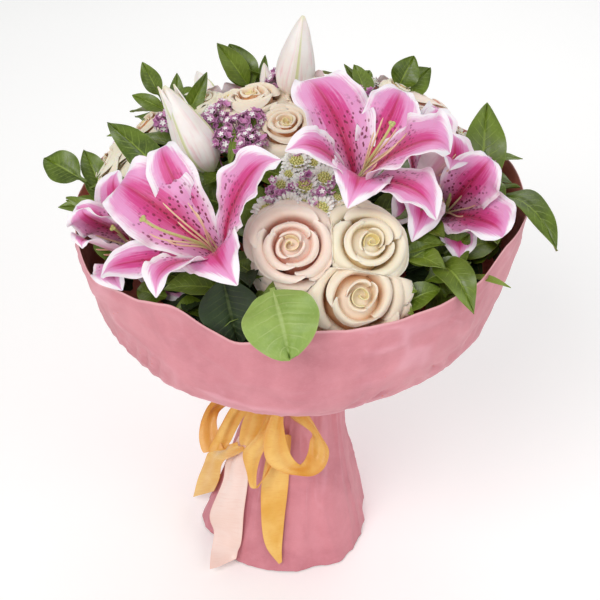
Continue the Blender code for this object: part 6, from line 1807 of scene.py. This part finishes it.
def make_flowers():
    petals, parts = lily_look(), lily_parts_look()
    for name in LILIES:
        make_lily(name, petals, parts)
    cream = rose_look("rose_petal_cream", (0.84, 0.520, 0.190), (0.88, 0.700, 0.400), (0.94, 0.880, 0.770), (0.91, 0.800, 0.630), (0.90, 0.760, 0.340))
    peach = rose_look("rose_petal_peach", (0.84, 0.330, 0.110), (0.88, 0.580, 0.340), (0.94, 0.860, 0.750), (0.91, 0.770, 0.620), (0.92, 0.800, 0.460))
    blush = rose_look("rose_petal_blush", (0.84, 0.270, 0.150), (0.88, 0.480, 0.360), (0.94, 0.840, 0.760), (0.92, 0.740, 0.640), (0.90, 0.720, 0.430))
    looks = {"rose_blush_front": blush, "rose_cream_front": cream, "rose_cream_low": peach, "rose_cream_left": cream, "rose_peach_top": peach,
             "rose_cream_top": peach, "rose_blush_back": blush, "rose_cream_back": cream}
    hips = Build()
    for i, name in enumerate(ROSES):
        centre, r, _ = ROSES[name]
        made = Build()
        add_rose(made, centre, rose_axis(name), rose_size(name), 500 + i, spin=1.3 * i, near=beside(name),
                 detail=1.0 if "front" in name or "low" in name else 0.72)
        made.make(name + "_petals", looks[name], (name,), "rose_blush" if "blush" in name else "rose_cream", sharp=80)
        add_hip(hips, centre, rose_axis(name), r, 520 + i)
    # smaller roses, half open, tucked in between
    small = {"peach": Build(), "cream": Build()}
    for i, (tone, bx, by, size, r) in enumerate((("peach", 302, 105, 0.93, 0.0165), ("peach", 153, 129, 0.93, 0.0180), ("cream", 206, 105, 0.95, 0.0150),
                                                 ("cream", 231, 103, 0.96, 0.0140), ("peach", 273, 118, 0.90, 0.0150), ("cream", 398, 92, 0.92, 0.0150))):
        centre = seen(bx, by, size)
        add_rose(small[tone], centre, unit(outward(centre) + np.array((0, -0.25, 0))), r, 560 + i, spin=0.7 * i)
        add_hip(hips, centre, outward(centre), r, 580 + i)
    for i, (tone, az, el, r) in enumerate((("peach", 84, 52, 0.0160), ("cream", 10, 30, 0.0190), ("peach", 112, 22, 0.0190), ("cream", 58, 22, 0.0180),
                                           ("peach", 168, 26, 0.0180))):
        centre = dome_at(az, max(el, 26), 0.93)
        add_rose(small[tone], centre, outward(centre), r, 570 + i, spin=0.9 * i)
        add_hip(hips, centre, outward(centre), r, 590 + i)
    small["peach"].make("small_roses_peach", peach, (), "rose_cream", sharp=80)
    small["cream"].make("small_roses_cream", cream, (), "rose_cream", sharp=80)
    hips.make("rose_sepals", LEAF_DARK, (), "leaf_green", sharp=80)
    white = santini_look()
    for name, heads, r in (("chrysanthemum_front", SANTINI_FRONT, 0.0135), ("chrysanthemum_back", SANTINI_BACK, 0.0140)):
        made = Build()
        for i, p in enumerate(heads):
            add_santini(made, p, outward(p) + np.array((0, -0.15, 0.05)) * (1 if name.endswith("front") else 0), r, 600 + i)
        made.make(name + "_heads", white, (name,), "daisy_white", sharp=80)
    made, stalks = Build(), Build()
    for i, (bx, by, size, r) in enumerate(((346, 212, 0.96, 0.0100), (262, 129, 0.97, 0.0100), (313, 164, 0.97, 0.0090), (281, 186, 0.97, 0.0090),
                                           (338, 197, 0.96, 0.0085), (303, 205, 0.96, 0.0090), (277, 224, 0.95, 0.0085), (311, 223, 0.95, 0.0080),
                                           (250, 108, 0.97, 0.0080), (212, 112, 0.98, 0.0075), (289, 175, 0.96, 0.0080))):
        p = seen(bx, by, size)
        if inside_rose(p, 0.95):
            continue
        add_santini(made, p, outward(p) + np.array((0, -0.2, 0.05)), r, 640 + i, 1.3)
        stalks.tube([p - outward(p) * 0.030, p - outward(p) * r * 0.2], (0.0008, 0.0010), 6, 0.4)
    for i, (az, el, r) in enumerate(((30, 26, 0.0120), (48, 40, 0.0110), (96, 36, 0.0120), (118, 44, 0.0110), (128, 20, 0.0120), (152, 44, 0.0110), (-8, 18, 0.0110),
                                     (100, 19, 0.0110), (74, 26, 0.0110))):
        p = dome_at(az, el, 1.0)
        if inside_rose(p, 1.0) or inside_lily(p):
            continue
        add_santini(made, p, outward(p), r, 660 + i)
        stalks.tube([p - outward(p) * 0.035, p - outward(p) * r * 0.2], (0.0008, 0.0010), 6, 0.4)
    made.make("small_chrysanthemum_heads", white, (), "daisy_white", sharp=80)
    mauve = statice_look()
    for name, heads in (("statice_left", STATICE_LEFT), ("statice_back", STATICE_BACK)):
        made = Build()
        for i, p in enumerate(heads):
            add_cluster(made, made, p, outward(p), 0.0115, 17, 700 + 20 * i)
        made.make(name + "_clusters", mauve, (name,), "statice_mauve", sharp=80)
    made = Build()
    rng = np.random.default_rng(31)
    for i, (bx, by) in enumerate(((280, 197), (311, 203), (300, 213), (293, 189), (268, 200), (318, 195), (332, 186), (300, 151), (286, 220), (274, 186),
                                  (309, 178), (336, 218), (262, 141), (270, 132), (246, 100), (266, 90), (292, 80), (285, 70), (203, 119), (214, 146),
                                  (258, 150), (240, 152), (356, 92), (372, 94))):
        p = seen(bx + rng.uniform(-1, 1), by + rng.uniform(-1, 1), 1.0 + rng.uniform(-0.01, 0.02))
        if inside_rose(p, 1.0):
            continue
        for j in range(5):
            q = p + rng.uniform(-0.0042, 0.0042, 3)
            add_floret(made, q, unit(outward(p) + rng.uniform(-0.5, 0.5, 3)), rng.uniform(0.0028, 0.0040), 800 + 7 * i + j, rng.random() < 0.35)
        made.tube([p - outward(p) * 0.030, p - outward(p) * 0.002], (0.0006, 0.0005), 5, 0.0)
    for i, (az, el) in enumerate(((20, 16), (66, 50), (108, 54), (140, 30), (90, 20), (44, 24), (160, 25), (0, 34))):
        p = dome_at(az, el, 1.0)
        if inside_rose(p, 1.05) or inside_lily(p):
            continue
        add_cluster(made, made, p, outward(p), 0.0105, 13, 880 + 20 * i)
    made.make("small_statice_florets", mauve, (), "statice_mauve", sharp=80)
    stalks.make("small_flower_stalks", stem_look(), (), "stem_green", sharp=80)
    waxy = bud_look()
    for i, name in enumerate(BUDS):
        base, tip, width = BUDS[name]
        made = Build()
        add_bud(made, base, tip, width, 0.4 + i, 0.20 if name == "lily_bud_left" else 0.0)
        if name == "lily_bud_top":
            add_bud(made, at_y(268, 92, 0.060), at_y(264, 63, 0.062), 0.0125, 2.0)
        made.make(name + "_tepals", waxy, (name,), "bud_white", sharp=80)


make_bed()
make_among()
make_flowers()
